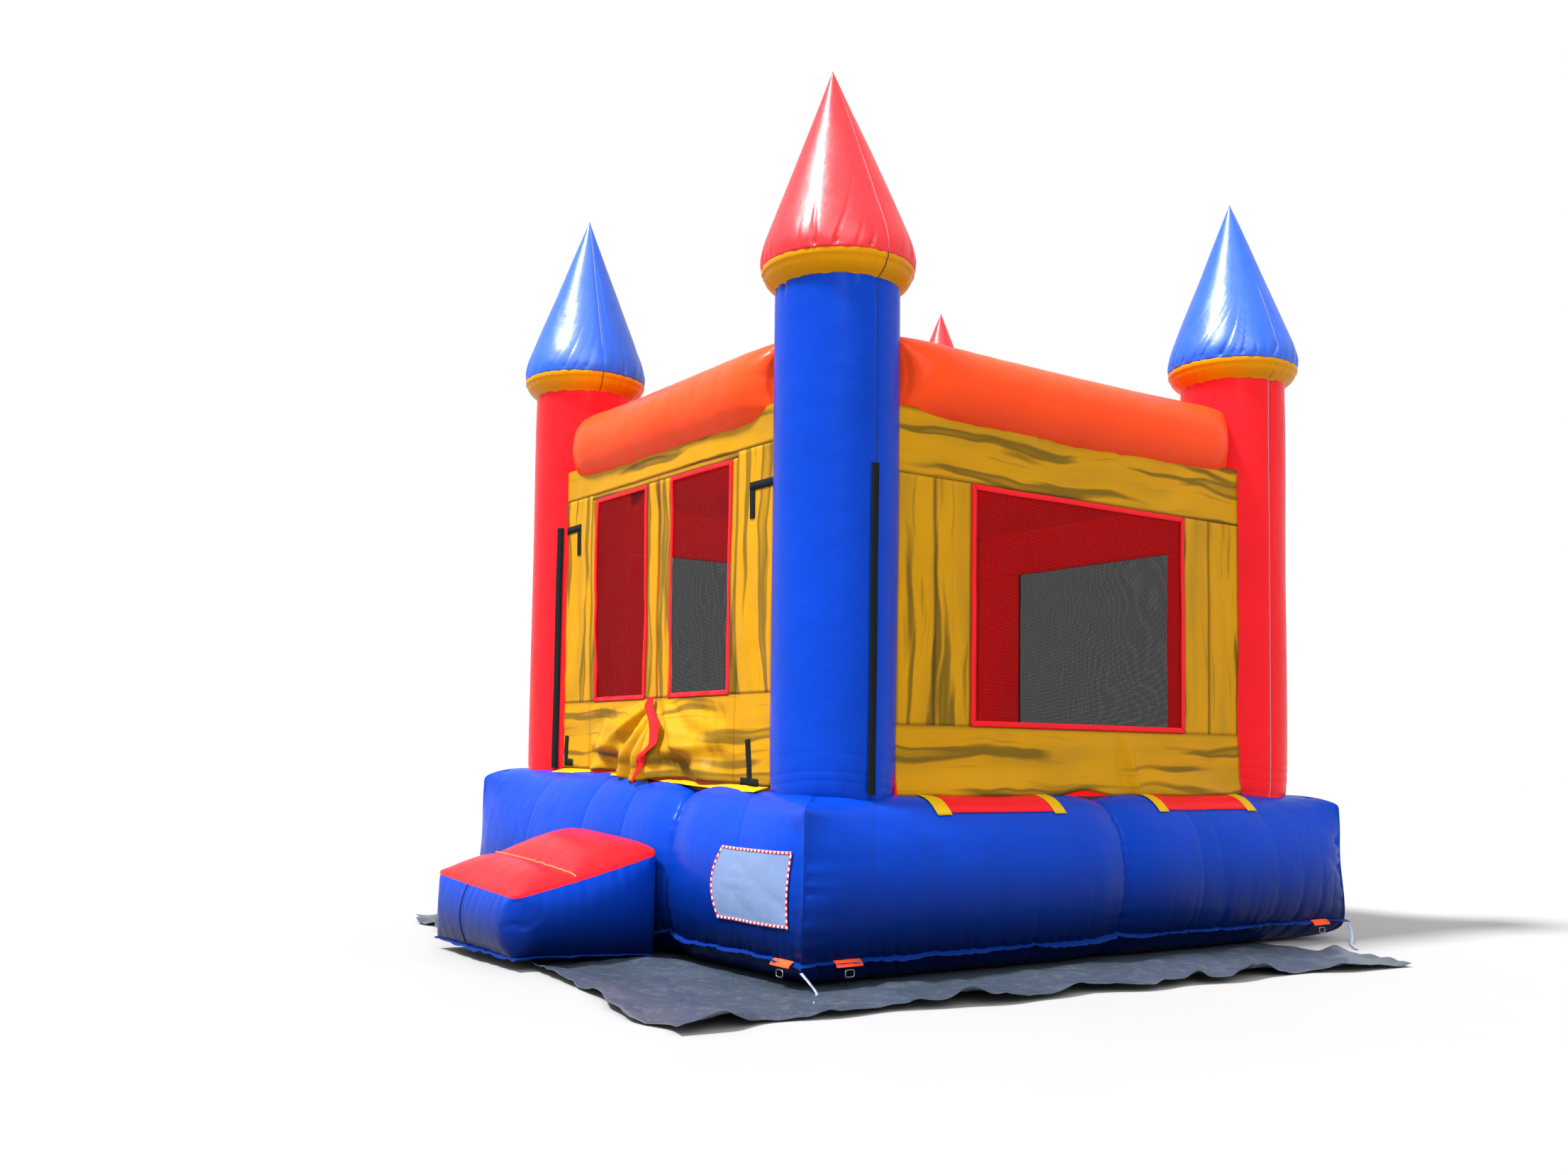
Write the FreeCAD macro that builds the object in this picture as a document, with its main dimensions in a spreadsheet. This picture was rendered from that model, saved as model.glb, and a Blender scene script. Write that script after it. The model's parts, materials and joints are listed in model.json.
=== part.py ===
import FreeCAD, Part
import math
import os
import Sketcher

# Inflatable bounce house: one STEP file per sub-part, millimetres, +Z up.
# The origin is the middle of the base's plan, on the floor. The entrance faces -Y.
# Air chambers are skins with a sealed hollow; flat sewn pieces are thin plates.

doc = FreeCAD.newDocument("bounce_house")
sheet = doc.addObject("Spreadsheet::Sheet", "dims")

DIMENSIONS = [
    # base
    ("base_half_x", 1782, "base seam line from the middle, across"),
    ("base_half_y", 1980, "base seam line from the middle, front to back"),
    ("base_top", 848, "height of the base's crown"),
    ("base_seam", 100, "height of the seam at the foot of the base"),
    ("base_edge", 650, "height where the side bulge ends"),
    ("base_edge_out", 16, "how far the end of the bulge stands out"),
    ("base_shoulder", 200, "inward run of the rounded top edge"),
    ("base_full", 370, "height where the sides stand out most"),
    ("base_bulge", 60, "how far the sides stand out of the seam line"),
    ("base_undercut", 150, "inward run of the curve under the foot"),
    ("rim", 460, "width of the side tubes"),
    ("lift", 4, "clearance of a chamber above the floor"),
    ("skin", 2, "thickness of a chamber's skin"),
    ("gap", 2, "space between two chambers"),
    ("cell_drop", 70, "depth of the bounce floor's quilting seams"),
    ("hem_in", 8, "inner face of the hem flange outside the seam line"),
    ("hem_t", 3, "thickness of the hem flange"),
    ("hem_h", 28, "height of the hem flange"),
    ("hem_drop", 22, "foot of the hem flange below the seam"),
    # panel and patches on the base
    ("notice_in", 1170, "inner edge of the pale panel, across"),
    ("notice_out", 1740, "outer edge of the pale panel, across"),
    ("notice_low", 270, "bottom of the pale panel"),
    ("notice_high", 620, "top of the pale panel"),
    ("patch_near_front", -1090, "near patch, front end"),
    ("patch_near_back", -400, "near patch, back end"),
    ("patch_far_front", 460, "far patch, front end"),
    ("patch_far_back", 1130, "far patch, back end"),
    ("patch_low", 768, "bottom edge of the shoulder patches"),
    ("patch_end", 90, "length of a yellow end"),
    # columns, collars and cones
    ("column_x", 1363.5, "column centre from the middle, across"),
    ("column_y", 1514.5, "column centre from the middle, front to back"),
    ("column_r", 308, "column radius"),
    ("column_top", 3317, "top of a column"),
    ("collar_base", 3319, "bottom of a collar"),
    ("collar_mid", 3365, "height where a collar swells most"),
    ("collar_top", 3440, "top of a collar"),
    ("collar_mid_r", 356, "collar radius at its middle"),
    ("collar_top_r", 378, "collar radius at its top"),
    ("cone_base", 3442, "bottom of a cone"),
    ("cone_wide", 3491, "height of a cone's widest ring"),
    ("cone_r", 384, "radius of a cone's widest ring"),
    ("cone_soft", 3570, "height where the cone's round edge begins"),
    ("cone_soft_r", 366, "radius where the cone's round edge begins"),
    ("cone_neck", 3660, "height where the cone's straight side begins"),
    ("cone_neck_r", 334, "radius where the cone's straight side begins"),
    ("cone_tip", 4479, "height of a cone's tip"),
    # beams and roof
    ("beam_r", 225, "beam radius"),
    ("beam_z", 2920, "height of the beams' centre lines"),
    ("beam_out", 80, "beam centre line outside the column centre line"),
    ("beam_inset", 258, "end of a beam short of the column centre"),
    ("roof_z", 3050, "underside of the roof cover"),
    ("roof_inset", 106, "roof edge inside the column centre line"),
    # walls
    ("wall_out", 210.5, "wall plane outside the column centre line"),
    ("wall_inset", 229, "end of a wall short of the column centre"),
    ("wall_base", 851, "bottom of the walls"),
    ("wall_top", 2733, "top of the walls"),
    ("sheet_t", 3, "thickness of a wall sheet"),
    ("trim_t", 2, "thickness of mesh and trim"),
    ("trim_gap", 1, "space between a sheet and its trim"),
    ("window_low", 1200, "bottom of the side windows, border included"),
    ("window_high", 2430, "top of the side windows, border included"),
    ("window_right", 810, "half width of the right and left windows"),
    ("window_back", 720, "half width of the back window"),
    ("border", 45, "width of a window's border"),
    ("lap", 20, "mesh hidden behind the sheet round a window"),
    # entrance
    ("door_half", 803, "half width of the doorway"),
    ("door_top", 2603, "top of the doorway"),
    ("door_base", 872, "bottom of the door leaves"),
    ("door_play", 3, "space round a door leaf"),
    ("pane_in", 130, "inner edge of a door window"),
    ("pane_out", 750, "outer edge of a door window"),
    ("pane_low", 1350, "bottom of a door window"),
    ("pane_high", 2570, "top of a door window"),
    ("sill_half", 1100, "half length of the sill strip"),
    ("sill_run", 90, "width of the sill strip"),
    ("pull_w", 36, "width of the pull strip"),
    ("pull_clear", 8, "pull strip above the base's crown"),
    ("pull_bend", 60, "height above the crown where the pull strip turns outward"),
    ("pull_slope", 52, "run of the pull strip's slope"),
    ("pull_run", 150, "reach of the pull strip over the base"),
    # step
    ("step_x", 120, "middle of the step, across"),
    ("step_w", 1000, "width of the step"),
    ("step_back", 2053, "back of the step from the middle"),
    ("step_front", 2820, "front seam of the step from the middle"),
    ("step_crease", 2500, "crease between the two pillows"),
    ("step_crease_z", 452, "height of the crease"),
    ("step_back_z", 575, "height of the back pillow at the base"),
    ("step_front_z", 372, "height of the front edge"),
    ("step_foot", 25, "underside of the step"),
    # straps, tabs and rings
    ("strap_w", 45, "width of the hook-and-loop strips"),
    ("strap_left", 946, "inner end of the upper left strip, across"),
    ("strap_left_top", 2446, "top of the upper left strip"),
    ("strap_left_drop", 2270, "foot of the upper left strip's leg"),
    ("strap_right", 925, "inner end of the upper right strip, across"),
    ("strap_right_top", 2420, "top of the upper right strip"),
    ("strap_right_drop", 2260, "foot of the upper right strip's leg"),
    ("strap_foot", 900, "bottom of the lower strips"),
    ("strap_foot_top", 1130, "top of the lower strips"),
    ("strap_post_left", 930, "bottom of the strip on the left column"),
    ("strap_post_right", 870, "bottom of the strip on the right column"),
    ("strap_post_right_top", 2430, "top of the strip on the right column"),
    ("strap_turn", 56.5, "turn of the left column's strip off the front, degrees"),
    ("tab_w", 150, "width of an anchor tab"),
    ("tab_low", 92, "bottom of an anchor tab"),
    ("tab_high", 132, "top of an anchor tab"),
    ("tab_out", 28, "anchor tab outside the seam line"),
    ("tab_from_y", 244, "tab on a long side, from the corner"),
    ("tab_from_x", 130, "tab on the front or back, from the corner"),
    ("ring_wire", 6, "wire of an anchor ring"),
    ("ring_w", 56, "width of an anchor ring"),
    ("ring_h", 38, "height of an anchor ring"),
    ("tie_d", 14, "tie strap, taken as a round cord"),
    # tarp
    ("tarp_w", 4150, "tarp across"),
    ("tarp_l", 4270, "tarp front to back"),
    ("tarp_x", 400, "middle of the tarp, across"),
    ("tarp_y", -660, "middle of the tarp, front to back"),
    ("tarp_turn", -5.5, "turn of the tarp in plan, degrees"),
    # back services
    ("sleeve_x", 900, "inflation sleeve from the middle"),
    ("sleeve_z", 132, "height of the sleeve's axis"),
    ("sleeve_r", 118, "inner radius of the sleeve"),
    ("sleeve_l", 500, "length of the sleeve"),
    ("sleeve_start", 2060, "root of the sleeve from the middle"),
    ("zip_x", 650, "middle of the deflation zip"),
    ("zip_z", 420, "height of the deflation zip"),
    ("zip_l", 700, "length of the zip"),
    ("zip_h", 44, "height of the zip tape"),
    ("zip_out", 2050, "zip tape from the middle"),
    ("flap_l", 760, "length of the zip's cover flap"),
    ("flap_h", 130, "height of the cover flap"),
]
for row, (alias, value, meaning) in enumerate(DIMENSIONS, start=1):
    sheet.set("A%d" % row, alias)
    sheet.set("B%d" % row, str(value))
    sheet.set("C%d" % row, meaning)
    sheet.setAlias("B%d" % row, alias)
doc.recompute()

FRONT, RIGHT, BACK, LEFT = 0, 90, 180, 270
SIDE_NAMES = {FRONT: "front", RIGHT: "right", BACK: "back", LEFT: "left"}
CORNERS = {
    "front_right": (1, -1),
    "front_left": (-1, -1),
    "back_right": (1, 1),
    "back_left": (-1, 1),
}
parts = []


def dim(alias):
    """A driving dimension's present value."""
    return float(sheet.get(alias))


def vec(x=0.0, y=0.0, z=0.0):
    return FreeCAD.Vector(x, y, z)


def keep(obj, label):
    """Name a finished sub-part and put it on the export list."""
    obj.Label = label
    parts.append(obj)
    return obj


def put(obj, x="0", y="0", z="0", turn=0.0):
    """Place an object by expressions, turned about +Z by so many degrees."""
    obj.Placement = FreeCAD.Placement(vec(), FreeCAD.Rotation(vec(0, 0, 1), turn))
    for axis, text in (("x", x), ("y", y), ("z", z)):
        obj.setExpression("Placement.Base." + axis, text)
    return obj


def put_side(obj, side, out, z="0"):
    """Turn an object built facing -Y to one side, at a distance from the middle."""
    x = {FRONT: "0", RIGHT: out, BACK: "0", LEFT: "-(%s)" % out}[side]
    y = {FRONT: "-(%s)" % out, RIGHT: "0", BACK: out, LEFT: "0"}[side]
    return put(obj, x, y, z, side)


# ---------------------------------------------------------------- sketch helpers


def new_body(name):
    return doc.addObject("PartDesign::Body", name)


def new_sketch(body, plane):
    """A sketch on one of the body's own origin planes."""
    sketch = body.newObject("Sketcher::SketchObject", body.Name + "_sketch")
    support = [f for f in body.Origin.OriginFeatures if f.Role == plane + "_Plane"][0]
    sketch.AttachmentSupport = [(support, "")]
    sketch.MapMode = "FlatFace"
    return sketch


def outline(sketch, corners):
    """A closed polygon whose corners are pairs of expressions."""
    first = sketch.GeometryCount
    spots = []
    for pair in corners:
        spots.append(vec(*[float(sketch.evalExpression(text)) for text in pair]))
    count = len(spots)
    for i in range(count):
        sketch.addGeometry(Part.LineSegment(spots[i], spots[(i + 1) % count]), False)
    for i in range(count):
        after = first + (i + 1) % count
        sketch.addConstraint(Sketcher.Constraint("Coincident", first + i, 2, after, 1))
    for i, (text_x, text_y) in enumerate(corners):
        for kind, axis, text, value in (
            ("DistanceX", -2, text_x, spots[i].x),
            ("DistanceY", -1, text_y, spots[i].y),
        ):
            if text == "0":
                sketch.addConstraint(Sketcher.Constraint("PointOnObject", first + i, 1, axis))
                continue
            new = sketch.addConstraint(Sketcher.Constraint(kind, -1, 1, first + i, 1, value))
            sketch.setExpression("Constraints[%d]" % new, text)


def rectangle(sketch, x0, y0, x1, y1):
    outline(sketch, [(x0, y0), (x1, y0), (x1, y1), (x0, y1)])


def pad(body, sketch, length):
    feature = body.newObject("PartDesign::Pad", body.Name + "_pad")
    feature.Profile = sketch
    feature.setExpression("Length", length)
    return feature


def plate(name, plane, rectangles, thickness):
    """A flat plate from rectangles; a rectangle inside another is a hole."""
    body = new_body(name)
    sketch = new_sketch(body, plane)
    for corners in rectangles:
        rectangle(sketch, *corners)
    pad(body, sketch, thickness)
    return body


def turned_chamber(name, profile, inner):
    """A sealed skin of revolution: outer profile upward, inner profile upward."""
    body = new_body(name)
    sketch = new_sketch(body, "XZ")
    outline(sketch, profile + inner[::-1])
    turn = body.newObject("PartDesign::Revolution", name + "_turn")
    turn.Profile = sketch
    turn.ReferenceAxis = (sketch, ["V_Axis"])
    turn.Angle = 360
    return body


# ---------------------------------------------------------------- solid helpers


def arc_through(start, middle, end):
    return Part.Arc(start, middle, end).toShape()


def tube_section(out):
    """Section of a side tube in the YZ plane, outward along -Y."""
    low, seam, edge, top = dim("lift"), dim("base_seam"), dim("base_edge"), dim("base_top")
    inner, foot = out - dim("rim"), out - dim("base_undercut")
    shoulder, turn = out - dim("base_shoulder"), out + dim("base_edge_out")
    soft = dim("base_shoulder") * 0.29
    p_in_low = vec(0, -inner, low)
    p_foot = vec(0, -foot, low)
    p_seam = vec(0, -out, seam)
    p_edge = vec(0, -turn, edge)
    p_shoulder = vec(0, -shoulder, top)
    p_in_top = vec(0, -inner, top)
    edges = [
        Part.LineSegment(p_in_low, p_foot).toShape(),
        arc_through(p_foot, vec(0, -(out - 52), low + 28), p_seam),
        arc_through(p_seam, vec(0, -(out + dim("base_bulge")), dim("base_full")), p_edge),
        arc_through(p_edge, vec(0, -(out - soft), top - soft), p_shoulder),
        Part.LineSegment(p_shoulder, p_in_top).toShape(),
        Part.LineSegment(p_in_top, p_in_low).toShape(),
    ]
    return Part.Face(Part.Wire(edges))


def prism(face, low_x, high_x):
    """A face in the YZ plane stretched along X."""
    moved = face.copy()
    moved.translate(vec(low_x, 0, 0))
    return moved.extrude(vec(high_x - low_x, 0, 0))


def hollow(face, low_x, high_x):
    """A sealed skin round a prism."""
    wall = dim("skin")
    core = prism(face.makeOffset2D(-wall), low_x + wall, high_x - wall)
    return prism(face, low_x, high_x).cut(core)


def patch_on(face, low_x, high_x, low_yz, high_yz):
    """A thin cover that follows a section's outside, clipped to a box."""
    near = dim("trim_gap")
    cover = face.makeOffset2D(near + dim("trim_t")).cut(face.makeOffset2D(near))
    solid = prism(cover, low_x, high_x)
    size = (high_x - low_x, high_yz[0] - low_yz[0], high_yz[1] - low_yz[1])
    return solid.common(Part.makeBox(*size, vec(low_x, low_yz[0], low_yz[1])))


def shape_part(label, shape):
    """A sub-part whose shape is computed from the sheet."""
    obj = doc.addObject("Part::Feature", label)
    obj.Shape = shape
    return keep(obj, label)


# ---------------------------------------------------------------- base


def mitre_wedge(out, length, inset):
    """The plan region of a side tube between its two mitred ends."""
    inner_out, inner_len = out - dim("rim"), length - dim("rim")
    reach = dim("rim") + 2 * dim("base_bulge")
    cut = inset * math.sqrt(2)
    corners = [
        vec(-inner_len + cut, -inner_out),
        vec(inner_len - cut, -inner_out),
        vec(inner_len - cut + reach, -inner_out - reach),
        vec(-inner_len + cut - reach, -inner_out - reach),
    ]
    face = Part.Face(Part.makePolygon(corners + corners[:1]))
    return face.extrude(vec(0, 0, 2 * dim("base_top")))


def base_side(side):
    """One mitred side tube of the base, as a sealed skin."""
    across = side in (FRONT, BACK)
    out = dim("base_half_y") if across else dim("base_half_x")
    length = dim("base_half_x") if across else dim("base_half_y")
    section = tube_section(out)
    reach = length + 2 * dim("base_bulge")
    outer = prism(section, -reach, reach).common(mitre_wedge(out, length, dim("gap") / 2))
    core = prism(section.makeOffset2D(-dim("skin")), -reach, reach)
    core = core.common(mitre_wedge(out, length, dim("gap") / 2 + dim("skin")))
    obj = shape_part("base_side_" + SIDE_NAMES[side], outer.cut(core))
    obj.Placement = FreeCAD.Placement(vec(), FreeCAD.Rotation(vec(0, 0, 1), side))


def bounce_floor(cells=6):
    """The quilted floor chamber between the side tubes."""
    half_x = dim("base_half_x") - dim("rim") - dim("gap")
    half_y = dim("base_half_y") - dim("rim") - dim("gap")
    low, crest = dim("lift"), dim("base_top") - 1
    seam = crest - dim("cell_drop")
    step = 2 * half_y / cells
    edges = [Part.LineSegment(vec(0, half_y, low), vec(0, -half_y, low)).toShape()]
    edges.append(Part.LineSegment(vec(0, -half_y, low), vec(0, -half_y, seam)).toShape())
    for i in range(cells):
        start = -half_y + i * step
        middle = vec(0, start + step / 2, crest)
        edges.append(arc_through(vec(0, start, seam), middle, vec(0, start + step, seam)))
    edges.append(Part.LineSegment(vec(0, half_y, seam), vec(0, half_y, low)).toShape())
    section = Part.Face(Part.Wire(edges))
    shape_part("bounce_floor", hollow(section, -half_x, half_x))

    webs = []
    clear = 2 * dim("skin")
    for i in range(1, cells):
        size = (2 * (half_x - clear), dim("skin"), seam - low - 2 * clear)
        corner = vec(-half_x + clear, -half_y + i * step - dim("skin") / 2, low + clear)
        webs.append(Part.makeBox(*size, corner))
    shape_part("floor_webs", Part.makeCompound(webs))


def base_hem():
    """The flange of spare vinyl round the foot of the base."""
    outlines = []
    for out in ("dims.hem_in + dims.hem_t", "dims.hem_in"):
        half_x, half_y = "dims.base_half_x + " + out, "dims.base_half_y + " + out
        outlines.append(("-(%s)" % half_x, "-(%s)" % half_y, half_x, half_y))
    ring = plate("base_hem", "XY", outlines, "dims.hem_h")
    keep(put(ring, z="dims.base_seam - dims.hem_drop"), "base_hem")


def base_trim():
    """The panel on the front of the base and the patches on its right shoulder."""
    front = tube_section(dim("base_half_y"))
    low_y = -dim("base_half_y") - 2 * dim("base_bulge")
    low, high = (low_y, dim("notice_low")), (-dim("base_half_y"), dim("notice_high"))
    shape_part("info_panel", patch_on(front, dim("notice_in"), dim("notice_out"), low, high))

    right = tube_section(dim("base_half_x"))
    edge = -dim("column_x") - dim("wall_out") - 2 * dim("sheet_t")
    outside = -dim("base_half_x") - dim("base_bulge")
    box = ((outside, dim("patch_low")), (edge, dim("base_top") + dim("base_bulge")))
    gap, run = dim("gap"), dim("patch_end")
    red, yellow = [], []
    for place in ("near", "far"):
        start, end = dim("patch_%s_front" % place), dim("patch_%s_back" % place)
        red.append(patch_on(right, start, end, *box))
        yellow.append(patch_on(right, start - run, start - gap, *box))
        yellow.append(patch_on(right, end + gap, end + run, *box))
    turn = FreeCAD.Rotation(vec(0, 0, 1), RIGHT)
    for label, pieces in (("shoulder_patches", red), ("shoulder_patch_ends", yellow)):
        obj = shape_part(label, Part.makeCompound(pieces))
        obj.Placement = FreeCAD.Placement(vec(), turn)


# ---------------------------------------------------------------- step


def step_section():
    """Section of the step in the YZ plane: two pillows, a full front, a flat foot."""
    back, front, crease = dim("step_back"), dim("step_front"), dim("step_crease")
    foot, front_z, crease_z = dim("step_foot"), dim("step_front_z"), dim("step_crease_z")
    back_z = dim("step_back_z")
    p = {
        "back_low": vec(0, -back, foot),
        "front_low": vec(0, -front, foot + 20),
        "front_top": vec(0, -front, front_z),
        "crease": vec(0, -crease, crease_z),
        "back_top": vec(0, -back, back_z),
    }
    middle_front = vec(0, -(front + 30), (foot + 20 + front_z) / 2)
    middle_lower = vec(0, -(front + crease) / 2, (front_z + crease_z) / 2 + 38)
    middle_upper = vec(0, -(back + crease) / 2, (back_z + crease_z) / 2 + 52)
    middle_foot = vec(0, -(back + front) / 2, foot - 16)
    edges = [
        arc_through(p["back_low"], middle_foot, p["front_low"]),
        arc_through(p["front_low"], middle_front, p["front_top"]),
        arc_through(p["front_top"], middle_lower, p["crease"]),
        arc_through(p["crease"], middle_upper, p["back_top"]),
        Part.LineSegment(p["back_top"], p["back_low"]).toShape(),
    ]
    return Part.Face(Part.Wire(edges))


def step():
    section = step_section()
    low = dim("step_x") - dim("step_w") / 2
    high = dim("step_x") + dim("step_w") / 2
    shape_part("step_body", hollow(section, low, high))
    crease, front = dim("step_crease"), dim("step_front")
    tops = [
        patch_on(section, low, high, (-front, dim("step_front_z")), (-crease - 4, 700)),
        patch_on(section, low, high, (-crease + 4, dim("step_crease_z")), (-dim("step_back"), 700)),
    ]
    shape_part("step_top", Part.makeCompound(tops))


# ---------------------------------------------------------------- columns and cones


def columns():
    for corner, (sign_x, sign_y) in CORNERS.items():
        spot = ("%d * dims.column_x" % sign_x, "%d * dims.column_y" % sign_y)
        column = turned_chamber(
            "column_" + corner,
            [
                ("0", "dims.base_top + dims.gap"),
                ("dims.column_r", "dims.base_top + dims.gap"),
                ("dims.column_r", "dims.column_top"),
                ("0", "dims.column_top"),
            ],
            [
                ("0", "dims.base_top + dims.gap + dims.skin"),
                ("dims.column_r - dims.skin", "dims.base_top + dims.gap + dims.skin"),
                ("dims.column_r - dims.skin", "dims.column_top - dims.skin"),
                ("0", "dims.column_top - dims.skin"),
            ],
        )
        collar = turned_chamber(
            "collar_" + corner,
            [
                ("0", "dims.collar_base"),
                ("dims.column_r", "dims.collar_base"),
                ("dims.collar_mid_r", "dims.collar_mid"),
                ("dims.collar_top_r", "dims.collar_top"),
                ("0", "dims.collar_top"),
            ],
            [
                ("0", "dims.collar_base + dims.skin"),
                ("dims.column_r - dims.skin", "dims.collar_base + dims.skin"),
                ("dims.collar_mid_r - 2 * dims.skin", "dims.collar_mid"),
                ("dims.collar_top_r - dims.skin", "dims.collar_top - dims.skin"),
                ("0", "dims.collar_top - dims.skin"),
            ],
        )
        cone = turned_chamber(
            "cone_" + corner,
            [
                ("0", "dims.cone_base"),
                ("dims.collar_top_r", "dims.cone_base"),
                ("dims.cone_r", "dims.cone_wide"),
                ("dims.cone_soft_r", "dims.cone_soft"),
                ("dims.cone_neck_r", "dims.cone_neck"),
                ("0", "dims.cone_tip"),
            ],
            [
                ("0", "dims.cone_base + dims.skin"),
                ("dims.collar_top_r - dims.skin", "dims.cone_base + dims.skin"),
                ("dims.cone_r - dims.skin", "dims.cone_wide"),
                ("dims.cone_soft_r - dims.skin", "dims.cone_soft"),
                ("dims.cone_neck_r - dims.skin", "dims.cone_neck"),
                ("0", "dims.cone_tip - 3 * dims.skin"),
            ],
        )
        for body, label in ((column, "column_"), (collar, "collar_"), (cone, "cone_")):
            keep(put(body, *spot), label + corner)


# ---------------------------------------------------------------- beams and roof


def cylinder(name, radius, height, base, direction=None):
    """A Part cylinder whose radius, height and foot are expressions."""
    obj = doc.addObject("Part::Cylinder", name)
    obj.setExpression("Radius", radius)
    obj.setExpression("Height", height)
    if direction is not None:
        obj.Placement = FreeCAD.Placement(vec(), FreeCAD.Rotation(vec(0, 0, 1), direction))
    for axis, text in zip("xyz", base):
        obj.setExpression("Placement.Base." + axis, text)
    return obj


def cut(name, base, tools):
    """Base less every tool."""
    fused = tools[0]
    if len(tools) > 1:
        fused = doc.addObject("Part::MultiFuse", name + "_tools")
        fused.Shapes = tools
    obj = doc.addObject("Part::Cut", name)
    obj.Base = base
    obj.Tool = fused
    return obj


def beam(side):
    """A beam between two columns, its ends shaped to them, as a sealed skin."""
    span, depth = "dims.column_x", "dims.column_y"
    if side in (RIGHT, LEFT):
        span, depth = depth, span
    name = "beam_" + SIDE_NAMES[side]

    def stage(tag, inset):
        bar = cylinder(
            name + tag,
            "dims.beam_r - %s" % inset,
            "2 * (%s - dims.beam_inset - %s)" % (span, inset),
            ("-(%s - dims.beam_inset - %s)" % (span, inset), "-%s - dims.beam_out" % depth, "dims.beam_z"),
            vec(1, 0, 0),
        )
        posts = []
        for sign in (-1, 1):
            posts.append(
                cylinder(
                    "%s%s_post_%s" % (name, tag, "left" if sign < 0 else "right"),
                    "dims.column_r + dims.gap + %s" % inset,
                    "4 * dims.beam_r",
                    ("%d * %s" % (sign, span), "-%s" % depth, "dims.beam_z - 2 * dims.beam_r"),
                )
            )
        return cut(name + tag + "_cut", bar, posts)

    solid = cut(name, stage("_outer", "0"), [stage("_inner", "dims.skin")])
    solid.Placement = FreeCAD.Placement(vec(), FreeCAD.Rotation(vec(0, 0, 1), side))
    keep(solid, name)


def roof():
    """The flat cover between the beams, notched round the columns."""
    slab = doc.addObject("Part::Box", "roof_slab")
    slab.setExpression("Length", "2 * (dims.column_x - dims.roof_inset)")
    slab.setExpression("Width", "2 * (dims.column_y - dims.roof_inset)")
    slab.setExpression("Height", "dims.sheet_t")
    for axis, text in (
        ("x", "-dims.column_x + dims.roof_inset"),
        ("y", "-dims.column_y + dims.roof_inset"),
        ("z", "dims.roof_z"),
    ):
        slab.setExpression("Placement.Base." + axis, text)
    posts = []
    for corner, (sign_x, sign_y) in CORNERS.items():
        posts.append(
            cylinder(
                "roof_notch_" + corner,
                "dims.column_r + dims.gap",
                "100",
                ("%d * dims.column_x" % sign_x, "%d * dims.column_y" % sign_y, "dims.roof_z - 50"),
            )
        )
    keep(cut("roof_cover", slab, posts), "roof_cover")


# ---------------------------------------------------------------- walls


def wall(side):
    """A wall panel with its window: sheet, mesh behind it and border in front."""
    name = SIDE_NAMES[side]
    across = side == BACK
    half = "(dims.%s - dims.wall_inset)" % ("column_x" if across else "column_y")
    depth = "dims.column_y" if across else "dims.column_x"
    window = "dims.window_back" if across else "dims.window_right"
    out = "%s + dims.wall_out" % depth
    hole = (
        "-%s + dims.border" % window,
        "dims.window_low + dims.border",
        "%s - dims.border" % window,
        "dims.window_high - dims.border",
    )
    lapped = (
        "-%s + dims.border - dims.lap" % window,
        "dims.window_low + dims.border - dims.lap",
        "%s - dims.border + dims.lap" % window,
        "dims.window_high - dims.border + dims.lap",
    )
    whole = ("-" + half, "dims.wall_base", half, "dims.wall_top")
    edge = ("-" + window, "dims.window_low", window, "dims.window_high")
    panel = plate("%s_wall" % name, "XZ", [whole, hole], "dims.sheet_t")
    mesh = plate("%s_mesh" % name, "XZ", [lapped], "dims.trim_t")
    frame = plate("%s_border" % name, "XZ", [edge, hole], "dims.trim_t")
    keep(put_side(panel, side, out), "%s_wall_panel" % name)
    keep(put_side(mesh, side, out + " - dims.trim_t - dims.trim_gap"), "%s_window_mesh" % name)
    keep(put_side(frame, side, out + " + dims.sheet_t + dims.trim_gap"), "%s_window_border" % name)


def front_wall():
    """The fixed parts of the front wall: a header and two side strips."""
    out = "dims.column_y + dims.wall_out"
    end = "dims.column_x - dims.wall_inset"
    header = ("-(%s)" % end, "dims.door_top", end, "dims.wall_top")
    keep(
        put_side(plate("header", "XZ", [header], "dims.sheet_t"), FRONT, out),
        "front_wall_header",
    )
    for sign, word in ((1, "right"), (-1, "left")):
        strip = (
            "%d * dims.door_half" % sign,
            "dims.wall_base",
            "%d * (%s)" % (sign, end),
            "dims.door_top - dims.trim_gap",
        )
        body = plate("strip_" + word, "XZ", [strip], "dims.sheet_t")
        keep(put_side(body, FRONT, out), "front_wall_%s_strip" % word)
    sill = doc.addObject("Part::Box", "sill")
    sill.setExpression("Length", "2 * dims.sill_half")
    sill.setExpression("Width", "dims.sill_run")
    sill.setExpression("Height", "dims.trim_t")
    for axis, text in (
        ("x", "-dims.sill_half"),
        ("y", "-(%s) - dims.sheet_t - dims.sill_run - 4" % out),
        ("z", "dims.base_top + dims.trim_gap"),
    ):
        sill.setExpression("Placement.Base." + axis, text)
    keep(sill, "front_sill")


# ---------------------------------------------------------------- door leaves


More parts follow.
